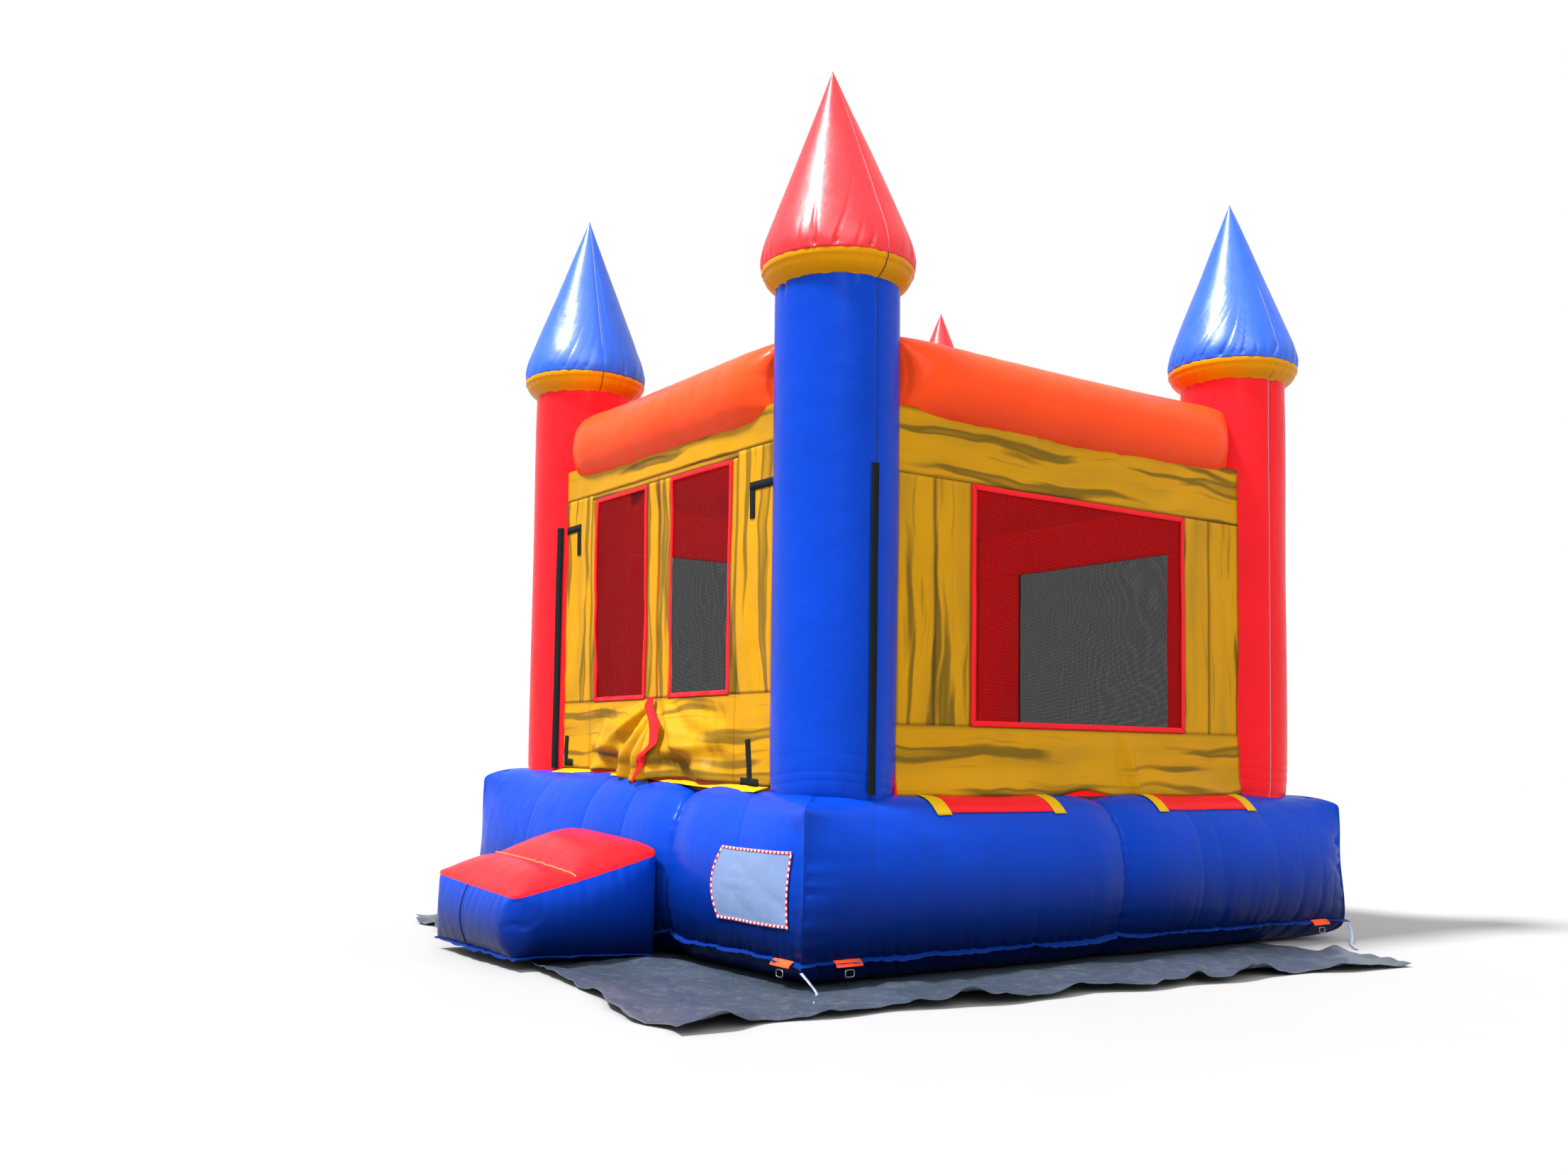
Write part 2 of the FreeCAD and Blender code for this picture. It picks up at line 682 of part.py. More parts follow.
def door_leaf(sign, word):
    """A door leaf with a raised border round its mesh window."""
    out = "dims.column_y + dims.wall_out"
    body = new_body("leaf_" + word)
    sketch = new_sketch(body, "XZ")
    sheet_edges = (
        "%d * dims.door_play" % sign,
        "dims.door_base",
        "%d * (dims.door_half - dims.door_play)" % sign,
        "dims.door_top - dims.door_play",
    )
    pane = (
        "%d * (dims.pane_in + dims.border)" % sign,
        "dims.pane_low + dims.border",
        "%d * (dims.pane_out - dims.border)" % sign,
        "dims.pane_high - dims.border",
    )
    edge = (
        "%d * dims.pane_in" % sign,
        "dims.pane_low",
        "%d * dims.pane_out" % sign,
        "dims.pane_high",
    )
    rectangle(sketch, *sheet_edges)
    rectangle(sketch, *pane)
    pad(body, sketch, "dims.sheet_t")
    rim = new_sketch(body, "XZ")
    rectangle(rim, *edge)
    rectangle(rim, *pane)
    pad(body, rim, "dims.sheet_t + dims.trim_t")
    keep(put_side(body, FRONT, out), "door_leaf_" + word)

    mesh = plate(
        "door_mesh_" + word,
        "XZ",
        [
            (
                "%d * (dims.pane_in + dims.border - dims.lap)" % sign,
                "dims.pane_low + dims.border - dims.lap",
                "%d * (dims.pane_out - dims.border + dims.lap)" % sign,
                "dims.pane_high - dims.border + dims.lap",
            )
        ],
        "dims.trim_t",
    )
    keep(put_side(mesh, FRONT, out + " - dims.trim_t - dims.trim_gap"), "door_mesh_" + word)


def pull_strip():
    """The strip that hangs from the slit and lies out over the base."""
    body = new_body("pull")
    sketch = new_sketch(body, "YZ")
    wall_y = "dims.column_y + dims.wall_out + dims.sheet_t"
    near = "-(%s + 2)" % wall_y
    far = "-(%s + 4)" % wall_y
    low = "dims.base_top + dims.pull_clear"
    high = low + " + dims.trim_t"
    outline(
        sketch,
        [
            (near, "dims.pane_low"),
            (near, "dims.base_top + dims.pull_bend"),
            ("-(%s + dims.pull_slope)" % wall_y, low),
            ("-(%s + dims.pull_run)" % wall_y, low),
            ("-(%s + dims.pull_run)" % wall_y, high),
            ("-(%s + dims.pull_slope + 1)" % wall_y, high),
            (far, "dims.base_top + dims.pull_bend + 1"),
            (far, "dims.pane_low"),
        ],
    )
    pad(body, sketch, "dims.pull_w")
    keep(put(body, x="dims.door_play + 4"), "door_pull_strip")


# ---------------------------------------------------------------- straps and tabs


def banner_strips():
    """Black hook-and-loop strips: flat ones on the front wall, curved ones on columns."""
    out = dim("column_y") + dim("wall_out") + dim("sheet_t") + dim("trim_gap")
    thick, width = dim("trim_t"), dim("strap_w")
    end = dim("column_x") - dim("wall_inset")
    left, left_top = -dim("strap_left"), dim("strap_left_top")
    right, right_top = dim("strap_right"), dim("strap_right_top")
    seam = dim("trim_gap")
    foot, foot_top = dim("strap_foot"), dim("strap_foot_top")
    flats = [
        (-end, left, left_top - width, left_top),
        (left - width, left, dim("strap_left_drop"), left_top - width - seam),
        (right, end, right_top - width, right_top),
        (right, right + width, dim("strap_right_drop"), right_top - width - seam),
        (right, right + width, foot, foot_top),
        (-end, -end + width, foot, foot_top),
    ]
    pieces = []
    for low_x, high_x, low_z, high_z in flats:
        corner = vec(low_x, -out - thick, low_z)
        pieces.append(Part.makeBox(high_x - low_x, thick, high_z - low_z, corner))
    inner_r = dim("column_r") + dim("trim_gap")
    spread = math.degrees(width / inner_r)
    posts = (
        (-1, -dim("strap_turn"), dim("strap_post_left"), left_top),
        (1, 0.0, dim("strap_post_right"), dim("strap_post_right_top")),
    )
    for sign, heading, low_z, high_z in posts:
        centre = vec(sign * dim("column_x"), -dim("column_y"), low_z)
        ring = Part.makeCylinder(inner_r + thick, high_z - low_z, centre, vec(0, 0, 1), spread)
        hole = Part.makeCylinder(inner_r, high_z - low_z, centre, vec(0, 0, 1), 360)
        arc = ring.cut(hole)
        arc.rotate(centre, vec(0, 0, 1), heading - spread / 2)
        pieces.append(arc)
    shape_part("banner_strips", Part.makeCompound(pieces))


def anchor_spots():
    """Middle and side of each of the eight anchor tabs."""
    along_x = dim("base_half_x") - dim("tab_from_x")
    along_y = dim("base_half_y") - dim("tab_from_y")
    spots = []
    for side in (FRONT, RIGHT, BACK, LEFT):
        along = along_x if side in (FRONT, BACK) else along_y
        out = dim("base_half_y") if side in (FRONT, BACK) else dim("base_half_x")
        for sign in (-1, 1):
            spots.append((side, sign * along, out + dim("tab_out")))
    return spots


def anchors():
    """Webbing tabs on the hem, each with a steel ring hanging from it."""
    tabs, rings = [], []
    wire = dim("ring_wire") / 2
    half, tall = dim("ring_w") / 2 - wire, dim("ring_h") - 2 * wire
    for side, along, out in anchor_spots():
        low = vec(along - dim("tab_w") / 2, -out - dim("sheet_t"), dim("tab_low"))
        tab = Part.makeBox(dim("tab_w"), dim("sheet_t"), dim("tab_high") - dim("tab_low"), low)
        top = dim("tab_low") - 1 - wire
        y = -out - dim("sheet_t") / 2
        corners = [
            vec(along - half, y, top),
            vec(along + half, y, top),
            vec(along + half, y, top - tall),
            vec(along - half, y, top - tall),
        ]
        ring = Part.makeSphere(wire, corners[0])
        for i, start in enumerate(corners):
            run = corners[(i + 1) % 4] - start
            ring = ring.fuse(Part.makeCylinder(wire, run.Length, start, run))
            ring = ring.fuse(Part.makeSphere(wire, start))
        for piece, group in ((tab, tabs), (ring, rings)):
            piece.rotate(vec(), vec(0, 0, 1), side)
            group.append(piece)
    shape_part("anchor_tabs", Part.makeCompound(tabs))
    shape_part("anchor_rings", Part.makeCompound(rings))


def cord(label, points):
    """A round cord: straight runs joined by tangent arcs."""
    spots = [vec(*p) for p in points]
    edges, last = [], spots[0]
    for before, here, after in zip(spots, spots[1:], spots[2:]):
        back, ahead = before - here, after - here
        trim = 0.45 * min(back.Length, ahead.Length)
        start = here + back.normalize() * trim
        end = here + ahead.normalize() * trim
        half = ahead.getAngle(back) / 2
        radius = trim * math.tan(half)
        inward = (ahead + back).normalize()
        middle = here + inward * (radius / math.sin(half) - radius)
        edges.append(Part.LineSegment(last, start).toShape())
        edges.append(arc_through(start, middle, end))
        last = end
    edges.append(Part.LineSegment(last, spots[-1]).toShape())
    path = Part.Wire(edges)
    aim = spots[1] - spots[0]
    ring = Part.Wire(Part.Circle(spots[0], aim, dim("tie_d") / 2).toShape())
    shape_part(label, path.makePipeShell([ring], True, True))


def tie_straps():
    cord(
        "tie_strap_front_right",
        [
            (1812, -2004, 92),
            (1862, -1995, 56),
            (1920, -1990, 16),
            (2000, -2056, 11),
            (2085, -2126, 11),
            (2163, -2190, 11),
        ],
    )
    cord(
        "tie_strap_back_right",
        [
            (1812, 1996, 92),
            (1854, 1962, 52),
            (1900, 1902, 14),
            (1960, 1800, 9),
            (2040, 1690, 9),
            (2125, 1600, 9),
        ],
    )


# ---------------------------------------------------------------- tarp and services


def tarp():
    sheet_body = plate(
        "tarp",
        "XY",
        [("-dims.tarp_w / 2", "-dims.tarp_l / 2", "dims.tarp_w / 2", "dims.tarp_l / 2")],
        "dims.sheet_t",
    )
    put(sheet_body, "dims.tarp_x", "dims.tarp_y", "0", dim("tarp_turn"))
    keep(sheet_body, "ground_tarp")


def sleeve():
    """The blower's sleeve at the back, with the strap that ties it."""
    foot = ("-dims.sleeve_x", "dims.sleeve_start", "dims.sleeve_z")
    tube = cylinder("sleeve_out", "dims.sleeve_r + dims.skin", "dims.sleeve_l", foot, vec(0, 1, 0))
    bore = cylinder("sleeve_bore", "dims.sleeve_r", "dims.sleeve_l", foot, vec(0, 1, 0))
    keep(cut("inflation_sleeve", tube, [bore]), "inflation_sleeve")
    spot = ("-dims.sleeve_x", "dims.sleeve_start + dims.sleeve_l - 120", "dims.sleeve_z")
    wide = "dims.sleeve_r + dims.skin + 0.5"
    band = cylinder("band_out", wide + " + dims.trim_t", "38", spot, vec(0, 1, 0))
    hole = cylinder("band_bore", wide, "38", spot, vec(0, 1, 0))
    keep(cut("sleeve_strap", band, [hole]), "sleeve_strap")


def zip_closure():
    """The deflation zip: tape, slider and the flap that covers them."""
    tape = plate(
        "tape",
        "XZ",
        [("-dims.zip_l / 2", "-dims.zip_h / 2", "dims.zip_l / 2", "dims.zip_h / 2")],
        "dims.trim_t",
    )
    keep(put(tape, "dims.zip_x", "dims.zip_out", "dims.zip_z", 180), "zip_tape")
    slider = plate("slider", "XZ", [("-22", "-9", "22", "9")], "6")
    spot = "dims.zip_x - dims.zip_l / 2 + 28"
    keep(put(slider, spot, "dims.zip_out + dims.trim_t + 1", "dims.zip_z", 180), "zip_slider")
    flap = plate(
        "flap",
        "XZ",
        [("-dims.flap_l / 2", "-dims.flap_h / 2", "dims.flap_l / 2", "dims.flap_h / 2")],
        "dims.trim_t",
    )
    keep(put(flap, "dims.zip_x", "dims.zip_out + 12", "dims.zip_z", 180), "zip_cover_flap")


# ---------------------------------------------------------------- build

tarp()
for one_side in (FRONT, RIGHT, BACK, LEFT):
    base_side(one_side)
bounce_floor()
base_hem()
base_trim()
step()
columns()
for one_side in (FRONT, RIGHT, BACK, LEFT):
    beam(one_side)
roof()
for one_side in (RIGHT, BACK, LEFT):
    wall(one_side)
front_wall()
door_leaf(1, "right")
door_leaf(-1, "left")
pull_strip()
banner_strips()
anchors()
tie_straps()
sleeve()
zip_closure()

doc.recompute()
for obj in doc.Objects:
    if {"Invalid", "Error"} & set(obj.State):
        raise RuntimeError("%s: %s" % (obj.Label, obj.State))

os.makedirs("parts", exist_ok=True)
for obj in parts:
    shape = obj.Shape
    if shape.isNull() or not shape.isValid() or not shape.Solids:
        raise RuntimeError("%s has a bad shape" % obj.Label)
    shape.exportStep("parts/%s.step" % obj.Label)
print("%d sub-parts written" % len(parts))
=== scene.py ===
import json
import math

import bmesh
import bpy
import numpy as np
from mathutils import Matrix, Vector

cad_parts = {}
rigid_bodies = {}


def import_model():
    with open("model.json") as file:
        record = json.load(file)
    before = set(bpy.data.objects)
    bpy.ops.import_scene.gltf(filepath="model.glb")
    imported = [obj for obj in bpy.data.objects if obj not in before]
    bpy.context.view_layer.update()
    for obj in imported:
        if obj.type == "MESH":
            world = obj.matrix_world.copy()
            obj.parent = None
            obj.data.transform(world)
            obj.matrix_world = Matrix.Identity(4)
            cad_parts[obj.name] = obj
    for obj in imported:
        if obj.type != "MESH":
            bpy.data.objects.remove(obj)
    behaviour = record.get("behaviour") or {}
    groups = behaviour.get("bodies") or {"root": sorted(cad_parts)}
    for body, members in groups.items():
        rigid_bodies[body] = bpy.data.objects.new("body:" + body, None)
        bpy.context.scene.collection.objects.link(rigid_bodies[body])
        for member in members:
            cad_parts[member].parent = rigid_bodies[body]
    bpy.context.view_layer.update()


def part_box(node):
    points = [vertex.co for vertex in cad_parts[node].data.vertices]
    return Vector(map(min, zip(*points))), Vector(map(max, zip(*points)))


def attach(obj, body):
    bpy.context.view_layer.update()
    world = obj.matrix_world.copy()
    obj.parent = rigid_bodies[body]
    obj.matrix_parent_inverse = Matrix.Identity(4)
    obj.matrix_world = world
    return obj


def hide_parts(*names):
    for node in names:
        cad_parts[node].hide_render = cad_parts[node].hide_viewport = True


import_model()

TAU = 2 * math.pi
HOUSE, DOOR = "house", {1: "door_right", -1: "door_left"}
FRONT, RIGHT, BACK, LEFT = 0, 90, 180, 270
SIDE = {FRONT: "front", RIGHT: "right", BACK: "back", LEFT: "left"}
CORNER = {"front_right": (1, -1), "front_left": (-1, -1), "back_right": (1, 1), "back_left": (-1, 1)}

# ------------------------------------------------------------------ sizes, from the CAD boxes


def box(node):
    return [np.array(v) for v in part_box(node)]


lo, hi = box("column_front_right")
COL_R, COL_HIGH = (hi[0] - lo[0]) / 2, hi[2]
COL_X, COL_Y = (lo[0] + hi[0]) / 2, -(lo[1] + hi[1]) / 2
lo, hi = box("cone_front_right")
CONE_TIP = hi[2]
lo, hi = box("collar_front_right")
COLLAR_LOW, COLLAR_HIGH = lo[2], hi[2]
lo, hi = box("base_hem")
HEM_OUT = 0.011
BASE_X, BASE_Y = hi[0] - HEM_OUT, hi[1] - HEM_OUT
BASE_TOP = box("base_side_right")[1][2]
lo, hi = box("beam_front")
BEAM_R, BEAM_Z = (hi[2] - lo[2]) / 2, (hi[2] + lo[2]) / 2
BEAM_OUT = -(lo[1] + hi[1]) / 2 - COL_Y
lo, hi = box("right_wall_panel")
WALL_OUT, WALL_HIGH = lo[0] - COL_X, hi[2]
lo, hi = box("right_window_border")
WIN_LOW, WIN_HIGH, WIN_RIGHT = lo[2], hi[2], hi[1]
WIN_BACK = box("back_window_border")[1][0]
ROOF_Z = box("roof_cover")[0][2]
del lo, hi

RIM = 0.46  # how far a side tube of the base reaches in from the seam line
ROWS = 84  # points round half the section of a side tube
BORDER, HOLD = 0.03, 0.02  # window border, and how far a net goes under it
SHEET = 0.0015  # thickness of a single sheet
WALL_FOOT, FRONT_FOOT = 0.85, 0.86  # lower edge of the flat walls
DOOR_HALF, DOOR_TOP = 0.8, 2.6
PANE = (0.13, 0.75, 1.35, 2.57)  # a door window: inner and outer edge, bottom and top
STEP_CREASE, STEP_BACK = -2.5, -2.05

# ------------------------------------------------------------------ small maths


def clamp(x, low=0.0, high=1.0):
    return np.minimum(np.maximum(x, low), high)


def ease(a, b, x):
    """0 before a, 1 after b, smooth between; a may be above b."""
    t = clamp((np.asarray(x, float) - a) / (b - a))
    return t * t * (3 - 2 * t)


def bell(x, middle, width):
    return np.exp(-(((np.asarray(x) - middle) / width) ** 2))


def wander(x, seed, cell=1.0):
    """Smooth noise along a line, from -1 to 1."""
    table = np.random.RandomState(seed).uniform(-1, 1, 512)
    x = np.asarray(x, float) / cell
    i = np.floor(x).astype(int)
    f = x - i
    f = f * f * (3 - 2 * f)
    return table[i % 512] * (1 - f) + table[(i + 1) % 512] * f


def field(x, y, seed, cell=1.0):
    """Smooth noise over a plane, from -1 to 1."""
    table = np.random.RandomState(seed).uniform(-1, 1, (128, 128))
    x, y = np.broadcast_arrays(np.asarray(x, float) / cell, np.asarray(y, float) / cell)
    i, j = np.floor(x).astype(int), np.floor(y).astype(int)
    f, g = x - i, y - j
    f, g = f * f * (3 - 2 * f), g * g * (3 - 2 * g)
    a = table[i % 128, j % 128] * (1 - f) + table[(i + 1) % 128, j % 128] * f
    b = table[i % 128, (j + 1) % 128] * (1 - f) + table[(i + 1) % 128, (j + 1) % 128] * f
    return a * (1 - g) + b * g


def gathers(s, seed, pitch, sharp=2.5):
    """Narrow valleys of uneven spacing and depth along a seam: 0 between them, 1 in one."""
    s = np.asarray(s, float)
    phase = (s + 0.42 * pitch * wander(s, seed, 1.3 * pitch)) / pitch
    depth = 0.55 + 0.45 * wander(s, seed + 1, 0.9 * pitch)
    return depth * (1 - np.abs(np.sin(math.pi * phase))) ** sharp


# ------------------------------------------------------------------ mesh helpers


def from_data(name, verts, faces, smooth=True):
    mesh = bpy.data.meshes.new(name)
    mesh.from_pydata(np.asarray(verts, float).tolist(), [], [list(map(int, f)) for f in faces])
    mesh.polygons.foreach_set("use_smooth", [smooth] * len(mesh.polygons))
    mesh.update()
    obj = bpy.data.objects.new(name, mesh)
    bpy.context.collection.objects.link(obj)
    return obj


def grid_faces(nu, nv, wrap_u=False, wrap_v=False, start=0):
    iu = np.arange(nu if wrap_u else nu - 1)[:, None]
    iv = np.arange(nv if wrap_v else nv - 1)[None, :]
    ju, jv = (iu + 1) % nu, (iv + 1) % nv
    quads = np.stack([iu * nv + iv, ju * nv + iv, ju * nv + jv, iu * nv + jv], -1)
    return (quads.reshape(-1, 4) + start).tolist()


def grid(name, points, wrap_u=False, wrap_v=False, caps=False):
    """A mesh over an array of points. caps closes the first and last rows of a wrapped tube."""
    nu, nv = points.shape[:2]
    verts = points.reshape(-1, 3)
    faces = grid_faces(nu, nv, wrap_u, wrap_v)
    if caps:
        faces.append(list(range(nv))[::-1])
        faces.append([(nu - 1) * nv + i for i in range(nv)])
    obj = from_data(name, verts, faces)
    if caps or (wrap_u and wrap_v):
        outward(obj)
    if caps:
        hard = np.zeros(len(obj.data.edges), bool)
        ends = np.array([e.vertices[:] for e in obj.data.edges])
        for first in (0, (nu - 1) * nv):
            hard |= ((ends >= first) & (ends < first + nv)).all(1)
        obj.data.attributes.new("sharp_edge", "BOOLEAN", "EDGE").data.foreach_set("value", hard)
    return obj


def outward(obj):
    b = bmesh.new()
    b.from_mesh(obj.data)
    bmesh.ops.recalc_face_normals(b, faces=b.faces)
    b.to_mesh(obj.data)
    b.free()


def patches(name, parts):
    """One mesh out of several grids; each part is (points, cloth coordinates or None)."""
    verts, faces, cloth = [], [], []
    for points, coords in parts:
        nu, nv = points.shape[:2]
        faces += grid_faces(nu, nv, start=len(verts))
        verts += points.reshape(-1, 3).tolist()
        cloth += (np.zeros((nu * nv, 3)) if coords is None else coords.reshape(-1, 3)).tolist()
    obj = from_data(name, verts, faces)
    layer = obj.data.attributes.new("cloth", "FLOAT_VECTOR", "POINT")
    layer.data.foreach_set("vector", np.array(cloth, float).ravel())
    return obj


def thicken(obj, thickness, offset=0.0):
    m = obj.modifiers.new("thick", "SOLIDIFY")
    m.thickness, m.offset = thickness, offset
    return obj


def band(name, path, across, width, thick):
    """A closed flat strip along a path: across is its width direction at each point."""
    path, across = np.asarray(path, float), np.asarray(across, float)
    along = np.gradient(path, axis=0)
    along /= np.linalg.norm(along, axis=1, keepdims=True)
    across = across - along * (across * along).sum(1, keepdims=True)
    across /= np.linalg.norm(across, axis=1, keepdims=True)
    normal = np.cross(along, across)
    ring = []
    for u, v in ((-0.5, -0.5), (0, -0.62), (0.5, -0.5), (0.5, 0.5), (0, 0.62), (-0.5, 0.5)):
        ring.append(path + across * u * width + normal * v * thick)
    return grid(name, np.stack(ring, 1), wrap_v=True, caps=True)


def spin(points, side):
    """Points built facing -Y, turned to a side."""
    a = math.radians(side)
    c, s = round(math.cos(a)), round(math.sin(a))
    x, y = points[..., 0].copy(), points[..., 1].copy()
    out = points.copy()
    out[..., 0], out[..., 1] = c * x - s * y, s * x + c * y
    return out


def piece(obj, body, material, slot, *nodes):
    """Give a finished object its material and its body, and hide the CAD nodes it stands for."""
    if material:
        obj.data.materials.clear()
        obj.data.materials.append(material)
    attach(obj, body)
    if nodes:
        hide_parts(*nodes)
    return obj


def two_sided(obj, outer, inner, test):
    """Two materials: the faces that pass the test take the inner one."""
    obj.data.materials.clear()
    obj.data.materials.append(outer)
    obj.data.materials.append(inner)
    for face in obj.data.polygons:
        face.material_index = int(test(face))


def join(name, objs):
    for o in bpy.context.view_layer.objects:
        o.select_set(False)
    for o in objs:
        o.select_set(True)
    bpy.context.view_layer.objects.active = objs[0]
    bpy.ops.object.join()
    objs[0].name = name
    return objs[0]


# ------------------------------------------------------------------ materials


def linear(r, g, b):
    """A colour given in 0-255 display values."""
    out = []
    for v in (r, g, b):
        v /= 255
        out.append(v / 12.92 if v <= 0.04045 else ((v + 0.055) / 1.055) ** 2.4)
    return (*out, 1)


class Nodes:
    """A short way to write a node tree."""

    def __init__(self, name):
        self.material = bpy.data.materials.new(name)
        self.material.use_nodes = True
        self.tree = self.material.node_tree
        self.shader = self.tree.nodes["Principled BSDF"]
        self.coords = None

    def add(self, kind, values=(), **settings):
        node = self.tree.nodes.new(kind)
        for key, value in settings.items():
            setattr(node, key, value)
        for key, value in dict(values).items():
            if isinstance(value, bpy.types.NodeSocket):
                self.tree.links.new(value, node.inputs[key])
            else:
                node.inputs[key].default_value = value
        return node

    def math(self, operation, a, b=0.0):
        return self.add("ShaderNodeMath", {0: a, 1: b}, operation=operation).outputs[0]

    def object_coords(self):
        if self.coords is None:
            self.coords = self.add("ShaderNodeTexCoord").outputs["Object"]
        return self.coords

    def noise(self, scale, detail=3.0, rough=0.5, vector=None, stretch=None, out="Fac"):
        vector = vector or self.object_coords()
        if stretch:
            vector = self.add("ShaderNodeMapping", {"Vector": vector, "Scale": stretch}).outputs[0]
        values = {"Vector": vector, "Scale": scale, "Detail": detail, "Roughness": rough}
        return self.add("ShaderNodeTexNoise", values).outputs[out]

    def ramp(self, fac, stops):
        node = self.add("ShaderNodeValToRGB", {"Fac": fac})
        ramp = node.color_ramp
        while len(ramp.elements) < len(stops):
            ramp.elements.new(0.5)
        for element, (at, colour) in zip(ramp.elements, stops):
            element.position = at
            element.color = colour if isinstance(colour, tuple) else (colour, colour, colour, 1)
        return node.outputs["Color"]

    def mix(self, fac, a, b, how="MIX"):
        node = self.add("ShaderNodeMix", data_type="RGBA", blend_type=how)
        for socket, value in ((0, fac), (6, a), (7, b)):
            if isinstance(value, bpy.types.NodeSocket):
                self.tree.links.new(value, node.inputs[socket])
            else:
                node.inputs[socket].default_value = value
        return node.outputs[2]

    def scaled(self, fac, low, high):
        return self.add("ShaderNodeMapRange", {"Value": fac, "To Min": low, "To Max": high}).outputs[0]

    def bump(self, heights):
        """heights: (socket, strength, distance) from the coarsest to the finest."""
        normal = None
        for height, strength, distance in heights:
            node = self.add(
                "ShaderNodeBump", {"Height": height, "Strength": strength, "Distance": distance}
            )
            if normal is not None:
                self.tree.links.new(normal, node.inputs["Normal"])
            normal = node.outputs[0]
        self.tree.links.new(normal, self.shader.inputs["Normal"])

    def set(self, **values):
        for key, value in values.items():
            socket = self.shader.inputs[key.replace("_", " ")]
            if isinstance(value, bpy.types.NodeSocket):
                self.tree.links.new(value, socket)
            else:
                socket.default_value = value
        return self.material


def shade(colour, factor):
    return tuple(min(1.0, c * factor) for c in colour[:3]) + (1,)


def vinyl(name, colour, rough=0.32, coat=0.05, crinkle=1.0, painted_glow=0.0, painted_foot_shade=None, spec=0.1, white=0.12):
    """Coated vinyl: a faint scrim weave, slow crinkles, scuffs in gloss and colour.

    glow is painted light: an emission that brightens an inside face. The painted foot shade is
    (low, high, factor) and darkens the colour towards the foot. white says how neutral the highlights are.
    """
    n = Nodes(name)
    strong = max(colour[:3])
    n.set(Specular_Tint=tuple(white + (1 - white) * c / strong for c in colour[:3]) + (1,))
    # painted light: an emission that makes an inside face glow, though it is no lamp
    if painted_glow:
        n.set(Emission_Color=(1.0, 0.004, 0.004, 1), Emission_Strength=painted_glow)
    cloud = n.noise(2.2, 4.0)
    dust = n.noise(34.0, 5.0, 0.65)
    tone = n.mix(n.scaled(cloud, 0.0, 1.0), shade(colour, 0.84), shade(colour, 1.1))
    tone = n.mix(n.ramp(dust, [(0.55, 0.0), (0.8, 0.22)]), tone, shade(colour, 0.6))
    # painted shade: below the given heights the colour is darkened towards the foot
    if painted_foot_shade:
        height = n.add("ShaderNodeSeparateXYZ", {0: n.object_coords()}).outputs["Z"]
        low = n.add(
            "ShaderNodeMapRange", {"Value": height, "From Min": painted_foot_shade[0], "From Max": painted_foot_shade[1]},
            interpolation_type="SMOOTHSTEP",
        ).outputs[0]
        tone = n.mix(low, n.mix(1.0, tone, (painted_foot_shade[2],) * 3 + (1,), "MULTIPLY"), tone)
    weave = n.add(
        "ShaderNodeTexVoronoi", {"Vector": n.object_coords(), "Scale": 420.0}, feature="F1"
    ).outputs["Distance"]
    slow = n.noise(7.0, 3.0, 0.45)
    fine = n.noise(55.0, 4.0, 0.55)
    n.bump([(slow, 0.22 * crinkle, 0.03), (fine, 0.1 * crinkle, 0.004), (weave, 0.08, 0.0006)])
    roughness = n.scaled(n.noise(12.0, 5.0, 0.6), rough - 0.07, rough + 0.13)
    return n.set(
        Base_Color=tone,
        Roughness=roughness,
        Coat_Weight=coat,
        Coat_Roughness=0.19,
        Specular_IOR_Level=spec,
    )


def planks(name, colour, streak, edge):
    """Vinyl printed as rough boards. The cloth coordinates run along and across each board."""
    n = Nodes(name)
    cloth = n.add("ShaderNodeAttribute", attribute_name="cloth").outputs["Vector"]
    parts = n.add("ShaderNodeSeparateXYZ", {0: cloth})
    along, across, rim = parts.outputs
    bend = n.noise(1.0, 2.0, 0.5, vector=cloth, stretch=(1.6, 1.6, 0.0))
    shifted = n.math("ADD", across, n.math("MULTIPLY", bend, 0.16))
    lines = n.add("ShaderNodeCombineXYZ", {0: n.math("MULTIPLY", along, 0.75), 1: shifted}).outputs[0]
    coarse = n.noise(1.0, 1.5, 0.5, vector=lines, stretch=(1.0, 10.0, 1.0))
    thin = n.noise(1.0, 2.0, 0.6, vector=lines, stretch=(2.0, 34.0, 1.0))
    wash = n.noise(1.0, 2.0, 0.5, vector=lines, stretch=(0.9, 5.0, 1.0))
    heavy = n.ramp(coarse, [(0.55, 0.0), (0.6, 0.75), (0.64, 0.8), (0.72, 0.35)])
    light = n.ramp(thin, [(0.62, 0.0), (0.7, 0.4)])
    cloud = n.noise(3.0, 4.0)
    tone = n.mix(n.scaled(cloud, 0.0, 1.0), shade(colour, 0.85), shade(colour, 1.12))
    tone = n.mix(n.ramp(wash, [(0.5, 0.0), (0.72, 0.5)]), tone, shade(streak, 2.3))
    tone = n.mix(light, tone, shade(streak, 1.5))
    tone = n.mix(heavy, tone, streak)
    line = n.math("SUBTRACT", 1.0, n.math("MULTIPLY", rim, 1.0 / edge))
    line = n.math("MULTIPLY", n.math("MAXIMUM", line, 0.0), n.scaled(coarse, 0.1, 1.3))
    tone = n.mix(line, tone, shade(streak, 0.8))
    slow = n.noise(5.0, 3.0, 0.45)
    fine = n.noise(60.0, 4.0, 0.55)
    n.bump([(slow, 0.22, 0.02), (fine, 0.1, 0.003), (thin, 0.06, 0.0006)])
    return n.set(
        Base_Color=tone,
        Roughness=n.scaled(n.noise(10.0, 4.0), 0.34, 0.56),
        Specular_IOR_Level=0.12,
        Specular_Tint=(1.0, 0.7, 0.3, 1),
    )


